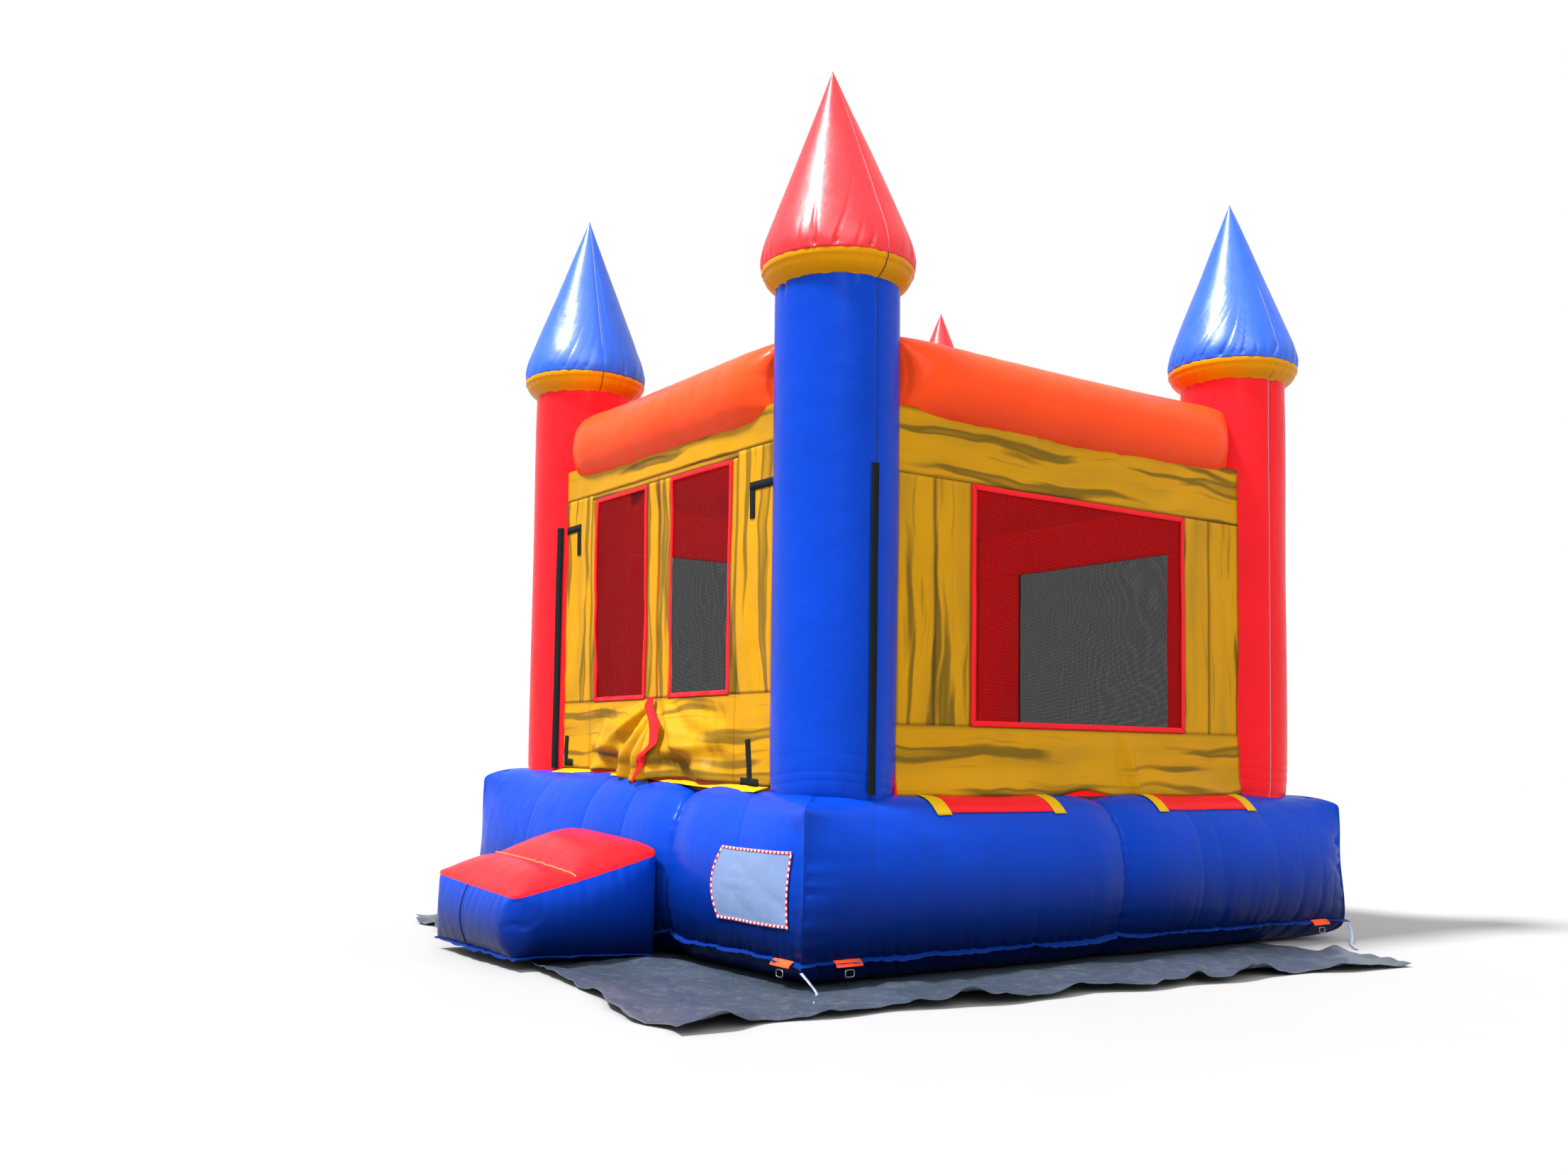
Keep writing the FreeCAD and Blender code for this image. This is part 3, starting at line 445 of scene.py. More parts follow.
def net(name, pitch=0.0075):
    """Black safety net: threads both ways with open squares between."""
    n = Nodes(name)
    cloth = n.add("ShaderNodeAttribute", attribute_name="cloth").outputs["Vector"]
    parts = n.add("ShaderNodeSeparateXYZ", {0: cloth})
    threads = []
    for out in (0, 1):
        wave = n.math("SINE", n.math("MULTIPLY", parts.outputs[out], math.pi / pitch))
        threads.append(n.math("ABSOLUTE", wave))
    hole = n.math("MINIMUM", threads[0], threads[1])
    opening = n.add(
        "ShaderNodeMapRange",
        {"Value": hole, "From Min": 0.3, "From Max": 0.55, "To Min": 0.92, "To Max": 0.6},
        interpolation_type="SMOOTHSTEP",
    ).outputs[0]
    tint = n.noise(6.0, 3.0)
    n.bump([(n.noise(5.0, 3.0), 0.2, 0.02), (hole, 0.4, 0.0012)])
    return n.set(
        Base_Color=n.mix(n.scaled(tint, 0.0, 1.0), (0.002, 0.002, 0.0025, 1), (0.005, 0.005, 0.006, 1)),
        Roughness=n.scaled(tint, 0.55, 0.8),
        Specular_IOR_Level=0.03,
        Alpha=opening,
    )


def webbing(name, colour, pitch=0.004, rough=0.7, gloss=0.3):
    """Woven tape or thread."""
    n = Nodes(name)
    wave = n.add(
        "ShaderNodeTexWave",
        {"Vector": n.object_coords(), "Scale": 1 / pitch / 6.28, "Distortion": 0.6, "Detail": 2.0},
        bands_direction="DIAGONAL",
    ).outputs["Fac"]
    fuzz = n.noise(260.0, 4.0, 0.7)
    tone = n.mix(n.scaled(wave, 0.0, 0.55), colour, shade(colour, 0.62))
    tone = n.mix(n.ramp(n.noise(9.0, 4.0), [(0.5, 0.0), (0.8, 0.35)]), tone, shade(colour, 0.7))
    n.bump([(wave, 0.35, 0.0012), (fuzz, 0.25, 0.0006)])
    roughness = n.scaled(fuzz, rough - 0.1, rough + 0.15)
    return n.set(Base_Color=tone, Roughness=roughness, Specular_IOR_Level=gloss)


def polythene(name, colour):
    """The ground tarp: woven tape, laminated, creased and dusty."""
    n = Nodes(name)
    creases = n.add(
        "ShaderNodeTexVoronoi", {"Vector": n.object_coords(), "Scale": 3.4}, feature="DISTANCE_TO_EDGE"
    ).outputs["Distance"]
    fold = n.ramp(creases, [(0.0, 0.0), (0.05, 1.0)])
    cloud = n.noise(1.8, 5.0, 0.6)
    dust = n.noise(20.0, 6.0, 0.7)
    tone = n.mix(n.scaled(cloud, 0.0, 1.0), shade(colour, 0.7), shade(colour, 1.25))
    tone = n.mix(n.ramp(dust, [(0.52, 0.0), (0.78, 0.4)]), tone, (0.15, 0.14, 0.125, 1))
    wave = n.add(
        "ShaderNodeTexWave", {"Vector": n.object_coords(), "Scale": 60.0, "Distortion": 0.4}
    ).outputs["Fac"]
    n.bump([(fold, 0.25, 0.006), (n.noise(9.0, 4.0), 0.4, 0.02), (wave, 0.1, 0.0008)])
    return n.set(Base_Color=tone, Roughness=n.scaled(dust, 0.34, 0.62), Coat_Weight=0.1)


def metal(name):
    n = Nodes(name)
    scratch = n.noise(900.0, 3.0, 0.6, stretch=(1.0, 1.0, 0.05))
    n.bump([(scratch, 0.15, 0.0003)])
    tone = n.mix(n.scaled(n.noise(80.0, 4.0), 0.0, 1.0), (0.2, 0.2, 0.21, 1), (0.34, 0.34, 0.35, 1))
    return n.set(Base_Color=tone, Metallic=1.0, Roughness=n.scaled(scratch, 0.25, 0.45))


def floor_material():
    n = Nodes("stage_floor")
    tone = n.mix(n.scaled(n.noise(0.6, 3.0), 0.0, 1.0), (0.285, 0.285, 0.29, 1), (0.305, 0.305, 0.305, 1))
    return n.set(Base_Color=tone, Roughness=n.scaled(n.noise(5.0), 0.7, 0.85))


BLUE, RED = (0.002, 0.036, 0.35, 1), (0.62, 0.011, 0.017, 1)
M = {
    "blue": vinyl("blue_vinyl", BLUE),
    # the base and the step take painted shade that darkens their foot
    "base": vinyl("blue_base_vinyl", BLUE, painted_foot_shade=(0.1, 0.68, 0.14)),
    "step": vinyl("blue_step_vinyl", BLUE, painted_foot_shade=(0.05, 0.46, 0.12)),
    "blue_cone": vinyl("blue_cone_vinyl", (0.004, 0.075, 0.5, 1), 0.36, 0.0, 0.8, spec=0.62, white=0.85),
    "red_cone": vinyl("red_cone_vinyl", (0.64, 0.012, 0.019, 1), 0.36, 0.0, 0.8, spec=0.5, white=0.8),
    # the hem is a darker blue than the base: painted shade at the foot of the base and the step, under the
    # bulge
    "hem": vinyl("blue_hem", (0.002, 0.02, 0.15, 1), 0.45, 0.0),
    "red": vinyl("red_vinyl", RED),
    "ribbon": vinyl("red_ribbon", (0.5, 0.012, 0.014, 1), 0.6, 0.0),
    # painted light: the red liner glows on the inside faces of columns, beams, roof and walls
    "liner": vinyl("red_liner", (0.6, 0.006, 0.008, 1), 0.5, 0.0, 1.0, 0.8),
    "gold": vinyl("gold_vinyl", (0.52, 0.21, 0.0015, 1)),
    "orange": vinyl("orange_vinyl", (0.74, 0.057, 0.01, 1), 0.36, 0.08),
    "plain": vinyl("yellow_vinyl", (0.55, 0.33, 0.006, 1), 0.4, 0.05),
    "planks": planks("plank_print", (0.42, 0.2, 0.003, 1), (0.072, 0.048, 0.005, 1), 0.022),
    "net": net("black_net"),
    "tape": webbing("black_tape", (0.006, 0.009, 0.011, 1), 0.003, 0.8, 0.08),
    "tab": webbing("orange_webbing", linear(236, 78, 24)),
    "strap": webbing("white_webbing", (0.3, 0.36, 0.52, 1)),
    "thread": webbing("pale_thread", (0.3, 0.24, 0.27, 1), 0.003),
    "dark_thread": webbing("dark_thread", (0.004, 0.006, 0.03, 1), 0.003),
    "pale": vinyl("pale_panel", (0.13, 0.19, 0.33, 1), 0.4, 0.1),
    "pale_trim": vinyl("pale_panel_trim", (0.5, 0.5, 0.52, 1), 0.35, 0.3),
    "piping": vinyl("tan_piping", (0.42, 0.16, 0.06, 1), 0.5, 0.0),
    "tarp": polythene("tarp_sheet", (0.03, 0.044, 0.066, 1)),
    "steel": metal("ring_steel"),
    "plastic": vinyl("zip_plastic", linear(28, 28, 32), 0.3),
}

# ------------------------------------------------------------------ base


def base_round():
    """Section of a side tube away from the corners: (outward of the seam line, height)."""
    under = [(-RIM, 0.006), (-0.18, 0.008), (-0.115, 0.02), (-0.07, 0.042), (-0.034, 0.078)]
    side = [(0.0, 0.122), (0.026, 0.17), (0.046, 0.24), (0.058, 0.33), (0.06, 0.41), (0.052, 0.5)]
    side += [(0.034, 0.59), (0.01, 0.67), (-0.028, 0.74), (-0.07, 0.795), (-0.12, 0.834), (-0.18, 0.852)]
    top = [(-0.25, 0.857), (-0.34, 0.854), (-RIM, 0.848)]
    return np.array(under + side + top)


def base_boxed():
    """The same points where the tube runs into the mitre at a corner."""
    under = [(-RIM, 0.006), (-0.18, 0.01), (-0.11, 0.022), (-0.06, 0.04), (-0.022, 0.062)]
    side = [(0.0, 0.092), (0.009, 0.15), (0.008, 0.24), (0.001, 0.35), (-0.006, 0.45), (-0.008, 0.55)]
    side += [(-0.007, 0.64), (-0.008, 0.7), (-0.01, 0.75), (-0.016, 0.795), (-0.06, 0.822), (-0.12, 0.84)]
    top = [(-0.2, 0.85), (-0.32, 0.85), (-RIM, 0.848)]
    return np.array(under + side + top)


def resample(points, count):
    """A smooth curve through points, at even spacing (Catmull-Rom)."""
    p = np.vstack([2 * points[0] - points[1], points, 2 * points[-1] - points[-2]])
    out = []
    for i in range(1, len(p) - 2):
        t = np.linspace(0, 1, 12, endpoint=False)[:, None]
        a, b, c, d = p[i - 1], p[i], p[i + 1], p[i + 2]
        out.append(0.5 * (2 * b + (c - a) * t + (2 * a - 5 * b + 4 * c - d) * t**2
                          + (3 * b - a - 3 * c + d) * t**3))
    fine = np.vstack(out + [points[-1:]])
    length = np.concatenate([[0], np.cumsum(np.linalg.norm(np.diff(fine, axis=0), axis=1))])
    at = np.linspace(0, length[-1], count)
    return np.stack([np.interp(at, length, fine[:, k]) for k in range(fine.shape[1])], 1)


# where the inner webs are welded to each side: (place along it, depth of the groove)
WEBS = {
    FRONT: [(-1.0, 0.006), (-0.34, 0.011), (0.11, 0.011), (0.6, 0.046), (1.24, 0.009)],
    RIGHT: [(-1.6, 0.005), (-1.2, 0.006), (0.055, 0.04), (0.62, 0.006), (0.78, 0.004), (1.25, 0.003)],
    BACK: [(-1.2, 0.006), (-0.4, 0.02), (0.45, 0.024), (1.22, 0.006)],
    LEFT: [(-1.24, 0.006), (-0.55, 0.01), (0.05, 0.028), (1.2, 0.006)],
}


def web_sway(arc):
    """How far a web's seam strays from a straight line round the section."""
    return 0.03 * np.sin(3.1 * np.asarray(arc) - 1.6)


def swell(x, y):
    """How much higher the front of the base stands than the rest, fullest at its left."""
    places = [-1.9, -1.5, -1.2, -0.4, 0.1, 0.55, 1.2, 1.7]
    rise = np.interp(x, places, [0.1, 0.092, 0.082, 0.077, 0.057, 0.034, 0.012, 0.0])
    return rise * ease(-0.7, -1.75, y)


def raised(points):
    """Points of the base with the swell of its front added."""
    out = points.copy()
    out[..., 2] += swell(points[..., 0], points[..., 1]) * clamp(points[..., 2] / 0.85) ** 1.6
    return out


ROUNDED, BOXED = resample(base_round(), ROWS), resample(base_boxed(), ROWS)
SEAM_ROW = int(np.argmin(np.abs(ROUNDED - (0, 0.122)).sum(1)))
SECTION = float(np.hypot(np.diff(ROUNDED[:, 0]), np.diff(ROUNDED[:, 1])).sum())


def base_frame(side):
    """A side's half length and its distance from the middle, at the seam line."""
    return (BASE_X, BASE_Y) if side in (FRONT, BACK) else (BASE_Y, BASE_X)


def base_shape(side, along):
    """Outward offset and height of the base's skin for a place along a side."""
    half_len, seed = base_frame(side)[0], 100 + side
    s = np.asarray(along)[:, None] / half_len
    d = (1 - np.abs(s)) * half_len
    fill = 1 - np.exp(-((d / 0.17) ** 1.15))
    o = ROUNDED[None, :, 0] * fill + BOXED[None, :, 0] * (1 - fill)
    z = ROUNDED[None, :, 1] * fill + BOXED[None, :, 1] * (1 - fill)
    # outward direction of the section, to press grooves and puckers along
    do, dz = np.gradient(o, axis=1), np.gradient(z, axis=1)
    size = np.hypot(do, dz) + 1e-9
    no, nz = dz / size, -do / size
    t = np.linspace(0, 1, ROWS)[None, :]
    arc = t * SECTION
    a = s * half_len + 0 * t
    press = 0 * a
    free = ease(0.1, 0.3, t) * ease(1.0, 0.93, t)
    for place, depth in WEBS[side]:
        off = a - place - web_sway(arc)
        press -= depth * free * (np.exp(-np.abs(off) / 0.014) * 0.6 + bell(off, 0, 0.13) * 0.7)
        pucker = gathers(arc + place, seed + 31, 0.075, 2.0)
        press -= free * depth * 0.35 * pucker * np.exp(-np.abs(off) / 0.08)
    # puckers above the foot seam and off the corner seams
    at_seam = np.abs(arc - arc[0, SEAM_ROW])
    press -= 0.016 * gathers(a, seed, 0.085, 2.2) * np.exp(-at_seam / 0.085)
    press -= 0.012 * gathers(a, seed + 5, 0.21, 1.8) * np.exp(-at_seam / 0.20)
    press -= 0.014 * gathers(arc, seed + 9, 0.09, 1.8) * np.exp(-d / 0.10) * free
    press -= 0.010 * gathers(arc + a * 0.5, seed + 11, 0.19, 1.4) * np.exp(-d / 0.26) * free
    press += 0.004 * field(a, arc, seed + 2, 0.4) * free
    press *= ease(0.0, 0.02, d + 0 * press)
    return o + no * press, z + nz * press, a


def base_side(side):
    """One inflated side of the base, mitred and pinched at both corners."""
    half_len, out = base_frame(side)
    s = np.linspace(-1, 1, 360)
    s = 0.82 * s + 0.18 * np.sign(s) * (1 - (1 - np.abs(s)) ** 2)
    o, z, _ = base_shape(side, s * half_len)
    x = s[:, None] * (half_len + o)
    points = raised(spin(np.stack([x, -(out + o), z], -1), side))
    name = "base_side_" + SIDE[side]
    obj = grid(name + "_skin", points, wrap_v=True, caps=True)
    piece(obj, HOUSE, M["base"], "blue_vinyl", name)


def base_point(side, a, arc_share, off=0.0, true=False):
    """Points on the base's skin: side, metres along it, share of the section, lift.

    true means that a is measured on the skin and not on the seam line.
    """
    half_len, out = base_frame(side)
    a = np.atleast_1d(np.asarray(a, float))
    k = np.asarray(arc_share, float) * (ROWS - 1)
    plain = np.interp(k, np.arange(ROWS), ROUNDED[:, 0])
    if true:
        a = a / (1 + plain / half_len)
    o, z, _ = base_shape(side, a)
    i = np.clip(np.floor(k).astype(int), 0, ROWS - 2)
    f = k - i
    rows = np.arange(len(a))
    if i.ndim == 1 and len(a) == 1:
        rows = np.zeros(len(i), int)
    oo = o[rows, i] * (1 - f) + o[rows, i + 1] * f
    zz = z[rows, i] * (1 - f) + z[rows, i + 1] * f
    so, sz = o[rows, i + 1] - o[rows, i], z[rows, i + 1] - z[rows, i]
    size = np.hypot(so, sz) + 1e-9
    oo, zz = oo + sz / size * off, zz - so / size * off
    x = a * (1 + oo / half_len)
    return raised(spin(np.stack([x + 0 * oo, -(out + oo), zz], -1), side))


def section_share(height, upper=True):
    """Where along the section the skin is at a height."""
    middle = int(np.argmax(ROUNDED[:, 0]))
    rows = np.arange(middle, ROWS) if upper else np.arange(SEAM_ROW, middle)
    return np.interp(height, ROUNDED[rows, 1], rows) / (ROWS - 1)


def build_base():
    for side in SIDE:
        base_side(side)
    # hem flange: a flat strip of spare vinyl standing out of the foot seam
    flanges = []
    for side in SIDE:
        half_len, out = base_frame(side)
        s = np.linspace(-1, 1, 260)
        drop = np.linspace(0, 1, 5)[None, :]
        a = s[:, None] * half_len
        skin_o, skin_z, _ = base_shape(side, a[:, 0])
        wave = 0.005 * wander(a, 60 + side, 0.12) + 0.004 * wander(a, 61 + side, 0.4)
        o = skin_o[:, SEAM_ROW, None] - 0.006 + drop * (0.026 + wave)
        z = skin_z[:, SEAM_ROW, None] + 0.004 - drop * (0.018 + 0.010 * wander(a, 62 + side, 0.2))
        x = s[:, None] * (half_len + o)
        points = spin(np.stack([x, -(out + o), z], -1), side)
        flanges.append(thicken(grid("flange", points), 0.003))
    for f in flanges:
        apply_modifiers(f)
    hem = join("base_hem_strip", flanges)
    piece(hem, HOUSE, M["hem"], "hem_vinyl", "base_hem")
    # web seams: a fine line of near-black thread in the deeper grooves; it is partly real stitching and
    # partly painted shade in the groove
    threads, deep, count = [], 0.02, 90
    for side, webs in WEBS.items():
        for place in [place for place, depth in webs if depth >= deep]:
            shares = np.linspace(SEAM_ROW / (ROWS - 1) + 0.02, 0.93, count)
            path = base_point(side, place + web_sway(shares * SECTION), shares, 0.0015)
            across = spin(np.tile([[1.0, 0, 0]], (count, 1)), side)
            threads.append(band("thread", path, across, 0.006, 0.003))
    piece(join("base_web_seams", threads), HOUSE, M["dark_thread"], "blue_vinyl")


def apply_modifiers(obj):
    dg = bpy.context.evaluated_depsgraph_get()
    mesh = bpy.data.meshes.new_from_object(obj.evaluated_get(dg), depsgraph=dg)
    obj.modifiers.clear()
    obj.data = mesh
    return obj


def build_floor():
    """The quilted floor between the side tubes."""
    nx, ny, cells = 100, 260, 6
    x0, y0 = BASE_X - RIM - 0.002, BASE_Y - RIM - 0.002
    x, y = np.meshgrid(np.linspace(-x0, x0, nx), np.linspace(-y0, y0, ny), indexing="ij")
    phase = (y / y0 + 1) / 2 * cells
    dome = 1 - np.abs(2 * (phase - np.floor(phase)) - 1) ** 2.4
    z = BASE_TOP - 0.072 + 0.068 * dome ** 0.7
    z -= 0.012 * gathers(x, 71, 0.12, 2.0) * np.exp(-dome / 0.25)
    z += 0.003 * field(x, y, 72, 0.3)
    top = np.stack([x, y, z], -1)
    rim = np.concatenate([top[:, 0], top[-1, 1:], top[-2::-1, -1], top[0, -2:0:-1]])
    low = rim.copy()
    low[:, 2] = 0.008
    verts = np.vstack([top.reshape(-1, 3), low])
    faces = grid_faces(nx, ny)
    index = np.arange(nx * ny).reshape(nx, ny)
    ring = np.concatenate([index[:, 0], index[-1, 1:], index[-2::-1, -1], index[0, -2:0:-1]])
    start = nx * ny
    for i in range(len(ring)):
        j = (i + 1) % len(ring)
        faces.append([ring[i], ring[j], start + j, start + i])
    faces.append([start + i for i in range(len(ring))][::-1])
    obj = from_data("bounce_floor_skin", verts, faces)
    outward(obj)
    piece(obj, HOUSE, M["blue"], "blue_vinyl", "bounce_floor", "floor_webs")


# ------------------------------------------------------------------ columns, collars, cones

COLOURS = {
    "front_right": ("blue", "red"),
    "front_left": ("red", "blue"),
    "back_right": ("red", "blue"),
    "back_left": ("blue", "red"),
}
# how far each cone's tip leans, in metres
LEAN = {
    "front_right": (-0.022, -0.031, -0.028),
    "front_left": (0.0, 0.004, 0.034),
    "back_right": (-0.004, -0.008, 0.003),
    "back_left": (0.01, 0.0, 0.0),
}
SEAMS = {"front_right": 2.0, "front_left": -10.0, "back_right": -9.0, "back_left": 150.0}


def leaning(points, lean, base):
    """Bend points over, more towards the tip."""
    if lean is None:
        return points
    share = clamp((points[..., 2:] - base) / (CONE_TIP - base)) ** 1.5
    return points + share * np.array(lean)


def turned(name, centre, profile, dr, segments=160, lean=None):
    """A closed form of revolution; dr(theta, height) adds to the radius."""
    theta = np.linspace(0, TAU, segments, endpoint=False)[None, :]
    r, z = profile[:, :1], profile[:, 1:]
    reach = np.maximum(r + dr(theta, z) * ease(0.0, 0.05, r), 0.0)
    points = np.stack(
        [centre[0] + reach * np.cos(theta), centre[1] + reach * np.sin(theta), z + 0 * theta], -1
    )
    return grid(name, leaning(points, lean, profile[0, 1]), wrap_v=True, caps=True)


def seam_line(centre, profile, dr, angle, lift=0.0012, lean=None):
    """A stitched seam up a form of revolution, as a path and its width direction."""
    th = math.radians(angle)
    r = profile[:, 0] + np.array([float(dr(th, z)) for z in profile[:, 1]]) + lift
    path = np.stack(
        [centre[0] + r * math.cos(th), centre[1] + r * math.sin(th), profile[:, 1]], 1
    )
    across = np.tile([[-math.sin(th), math.cos(th), 0]], (len(path), 1))
    return leaning(path, lean, profile[0, 1]), across


def build_corner(corner):
    sx, sy = CORNER[corner]
    centre = (sx * COL_X, sy * COL_Y)
    column_colour, cone_colour = COLOURS[corner]
    seed = 200 + 20 * list(CORNER).index(corner)
    seam = math.radians(SEAMS[corner])

    def near_seam(th):
        return np.abs((np.asarray(th) - seam + math.pi) % TAU - math.pi)

    def column_dr(th, z):
        arc = np.asarray(th) * COL_R
        bulge = 0.004 * field(np.cos(th) * 1.5 + 5, np.asarray(z) + np.sin(th), seed, 0.7)
        foot = np.exp(-(np.asarray(z) - 0.84) / 0.07)
        pucker = -0.014 * gathers(arc + 3, seed + 1, 0.13, 1.8) * foot - 0.012 * foot
        rings = -0.006 * gathers(np.asarray(z) + 0.02 * np.sin(2 * th), seed + 2, 0.075, 2.0)
        rings = rings * np.exp(-(np.asarray(z) - 0.86) / 0.16)
        head = -0.012 * gathers(arc + 7, seed + 3, 0.11, 2.0) * np.exp(-(COL_HIGH - np.asarray(z)) / 0.05)
        groove = -0.0045 * np.exp(-near_seam(th) / 0.022)
        tug = -0.003 * gathers(np.asarray(z), seed + 4, 0.14, 2.0) * np.exp(-near_seam(th) / 0.2)
        return bulge + pucker + rings + head + groove + tug

    def inside(face):
        x, y, z = face.center
        between = abs(x) < wall_frame(RIGHT)[0] - 0.03 and abs(y) < wall_frame(FRONT)[0] - 0.03
        return between and 0.9 < z < WALL_HIGH - 0.02

    z = np.concatenate([np.linspace(0.78, 1.1, 62), np.linspace(1.12, 3.2, 90), np.linspace(3.21, 3.325, 24)])
    profile = np.stack([COL_R + 0 * z, z], 1)
    name = "column_" + corner
    obj = turned(name + "_skin", centre, profile, column_dr)
    two_sided(obj, M[column_colour], M["liner"], inside)
    piece(obj, HOUSE, None, column_colour + "_vinyl", name)
    path, across = seam_line(centre, profile[4:], column_dr, SEAMS[corner])
    seams, dark = [], []
    (dark if corner == "front_right" else seams).append(band("seam", path, across, 0.004, 0.002))

    def collar_dr(th, z):
        arc = np.asarray(th) * 0.37
        up = np.exp(-(COLLAR_HIGH - np.asarray(z)) / 0.05)
        tuck = -0.006 * gathers(arc, seed + 6, 0.085, 1.8) * up
        tuck = tuck - 0.006 * gathers(arc + 2, seed + 8, 0.07, 1.8)
        return tuck + 0.004 * wander(arc, seed + 7, 0.3)

    rim, lip = COLLAR_HIGH - 0.014, COLLAR_LOW + 0.010
    collar = np.array([
        (0.300, lip - 0.012), (0.312, lip), (0.338, lip + 0.02),
        (0.358, lip + 0.042), (0.371, lip + 0.068), (0.378, rim - 0.02), (0.379, rim + 0.004),
        (0.36, rim + 0.008),
    ])
    collar = resample(collar, 30)
    obj = turned("collar_%s_skin" % corner, centre, collar, collar_dr, 260)
    piece(obj, HOUSE, M["gold"], "gold_vinyl", "collar_" + corner)
    path, across = seam_line(centre, collar[2:-3], collar_dr, SEAMS[corner])
    dark.append(band("seam", path, across, 0.004, 0.002))

    def cone_dr(th, z):
        z = np.asarray(z)
        arc = np.asarray(th) * 0.38
        length = 0.075 * (1.0 + 0.7 * wander(arc, seed + 10, 0.1))
        slant = arc + 0.45 * (wander(arc, seed + 15, 0.2) - 0.5) * (z - rim)
        pick = 0.35 + 0.65 * (wander(arc, seed + 16, 0.14) > -0.25)
        tuck = -0.055 * pick * gathers(slant, seed + 6, 0.085, 4.0) * np.exp(-np.maximum(z - rim, 0) / length)
        tuck = tuck - 0.010 * gathers(slant + 1, seed + 12, 0.16, 1.8) * np.exp(-(z - rim) / 0.15)
        tuck = tuck * ease(rim, rim + 0.035, z)
        slack = 0.003 * field(arc, z, seed + 13, 0.25)
        groove = -0.004 * np.exp(-near_seam(th) * 0.3 / 0.008) * ease(rim, rim + 0.02, z)
        return tuck + slack + groove

    tip, wide = CONE_TIP, rim + 0.05
    start = (0.3445, wide + 0.14)  # where the round shoulder turns into the straight cone
    cone = [
        (0.36, rim + 0.001), (0.3785, rim + 0.004), (0.384, rim + 0.028), (0.3845, wide),
        (0.380, wide + 0.03), (0.3665, wide + 0.08), start,
    ]
    for f in (0.1, 0.2, 0.3, 0.4, 0.5, 0.6, 0.7, 0.8, 0.9, 0.96, 0.985):
        cone.append((start[0] * (1 - f) ** 0.985, start[1] + f * (tip - wide - 0.14)))
    cone = resample(np.array(cone + [(0.003, tip - 0.001)]), 120)
    obj = turned("cone_%s_skin" % corner, centre, cone, cone_dr, 260, LEAN[corner])
    cone_skin = M[cone_colour + "_cone"]
    piece(obj, HOUSE, cone_skin, cone_colour + "_vinyl", "cone_" + corner)
    path, across = seam_line(centre, cone[4:-2], cone_dr, SEAMS[corner], lean=LEAN[corner])
    seams.append(band("seam", path, across, 0.003, 0.0018))
    piece(join("seams_" + corner, seams), HOUSE, M["thread"], "white_webbing")
    piece(join("dark_seams_" + corner, dark), HOUSE, M["dark_thread"], "black_tape")


# ------------------------------------------------------------------ beams and roof


def build_beam(side):
    across = side in (FRONT, BACK)
    span, depth = (COL_X, COL_Y) if across else (COL_Y, COL_X)
    half = span - 0.308
    seed = 400 + side
    u = np.linspace(-1, 1, 150)
    u = np.sign(u) * (1 - (1 - np.abs(u)) ** 1.25)
    theta = np.linspace(0, TAU, 96, endpoint=False)[None, :]
    x = u[:, None] * half
    d = half - np.abs(x)
    r = BEAM_R * (1 - 0.02 * np.exp(-d / 0.012)) + 0 * theta
    near = np.clip(d / 0.24, 0, 1)
    flat = 0.42 + 0.58 * np.sqrt(1 - (1 - near) ** 2)
    arc = theta * BEAM_R
    r = r + 0.004 * field(x, np.sin(theta) * 0.4 + 3, seed, 0.5)
    r = r - 0.009 * gathers(arc, seed + 1, 0.11, 1.8) * np.exp(-d / 0.10)
    slow = 0.006 if side == FRONT else 0.003
    r = r - slow * gathers(x, seed + 2, 0.24, 1.2) * (0.6 + 0.4 * np.sin(theta * 2 + 3 * x))
    r = r - 0.006 * gathers(x + 9, seed + 3, 0.09, 2.0) * np.exp(-np.abs(theta - 4.35) / 0.22)
    sag = -0.012 * (1 - u[:, None] ** 2)
    inward = np.cos(theta)
    y = -(depth + BEAM_OUT) + r * np.where(inward < 0, inward * flat, inward)
    z = BEAM_Z + sag + r * np.sin(theta)
    # above and below, the vinyl runs on until it meets the column
    x = x + np.sign(u[:, None]) * 0.075 * np.sin(theta) ** 2 * np.exp(-d / 0.05)
    points = np.stack([x + 0 * y, y, z], -1)
    # domed end discs, sewn in: smaller rings that stand further and further out
    for end, sign in ((0, -1), (-1, 1)):
        middle = points[end].mean(0)
        discs = []
        for share, dome in ((0.985, 0.002), (0.9, 0.006), (0.7, 0.011), (0.4, 0.015), (0.1, 0.016)):
            ring = middle + (points[end] - middle) * share
            ring[:, 0] = middle[0] + share * (points[end][:, 0] - middle[0]) + sign * dome
            discs.append(ring)
        stack = np.stack(discs)
        points = np.concatenate([stack[::-1], points] if sign < 0 else [points, stack])
    points = spin(points, side)
    name = "beam_" + SIDE[side]
    obj = grid(name + "_skin", points, wrap_v=True, caps=True)
    out = wall_frame(side)[0]

    def inner(face):
        local = spin(np.array([face.center[:]]), -side)[0]
        return -local[1] < out - 0.02 and local[2] < ROOF_Z and abs(local[0]) < half - 0.09

    two_sided(obj, M["orange"], M["liner"], inner)
    piece(obj, HOUSE, None, "orange_vinyl", name)


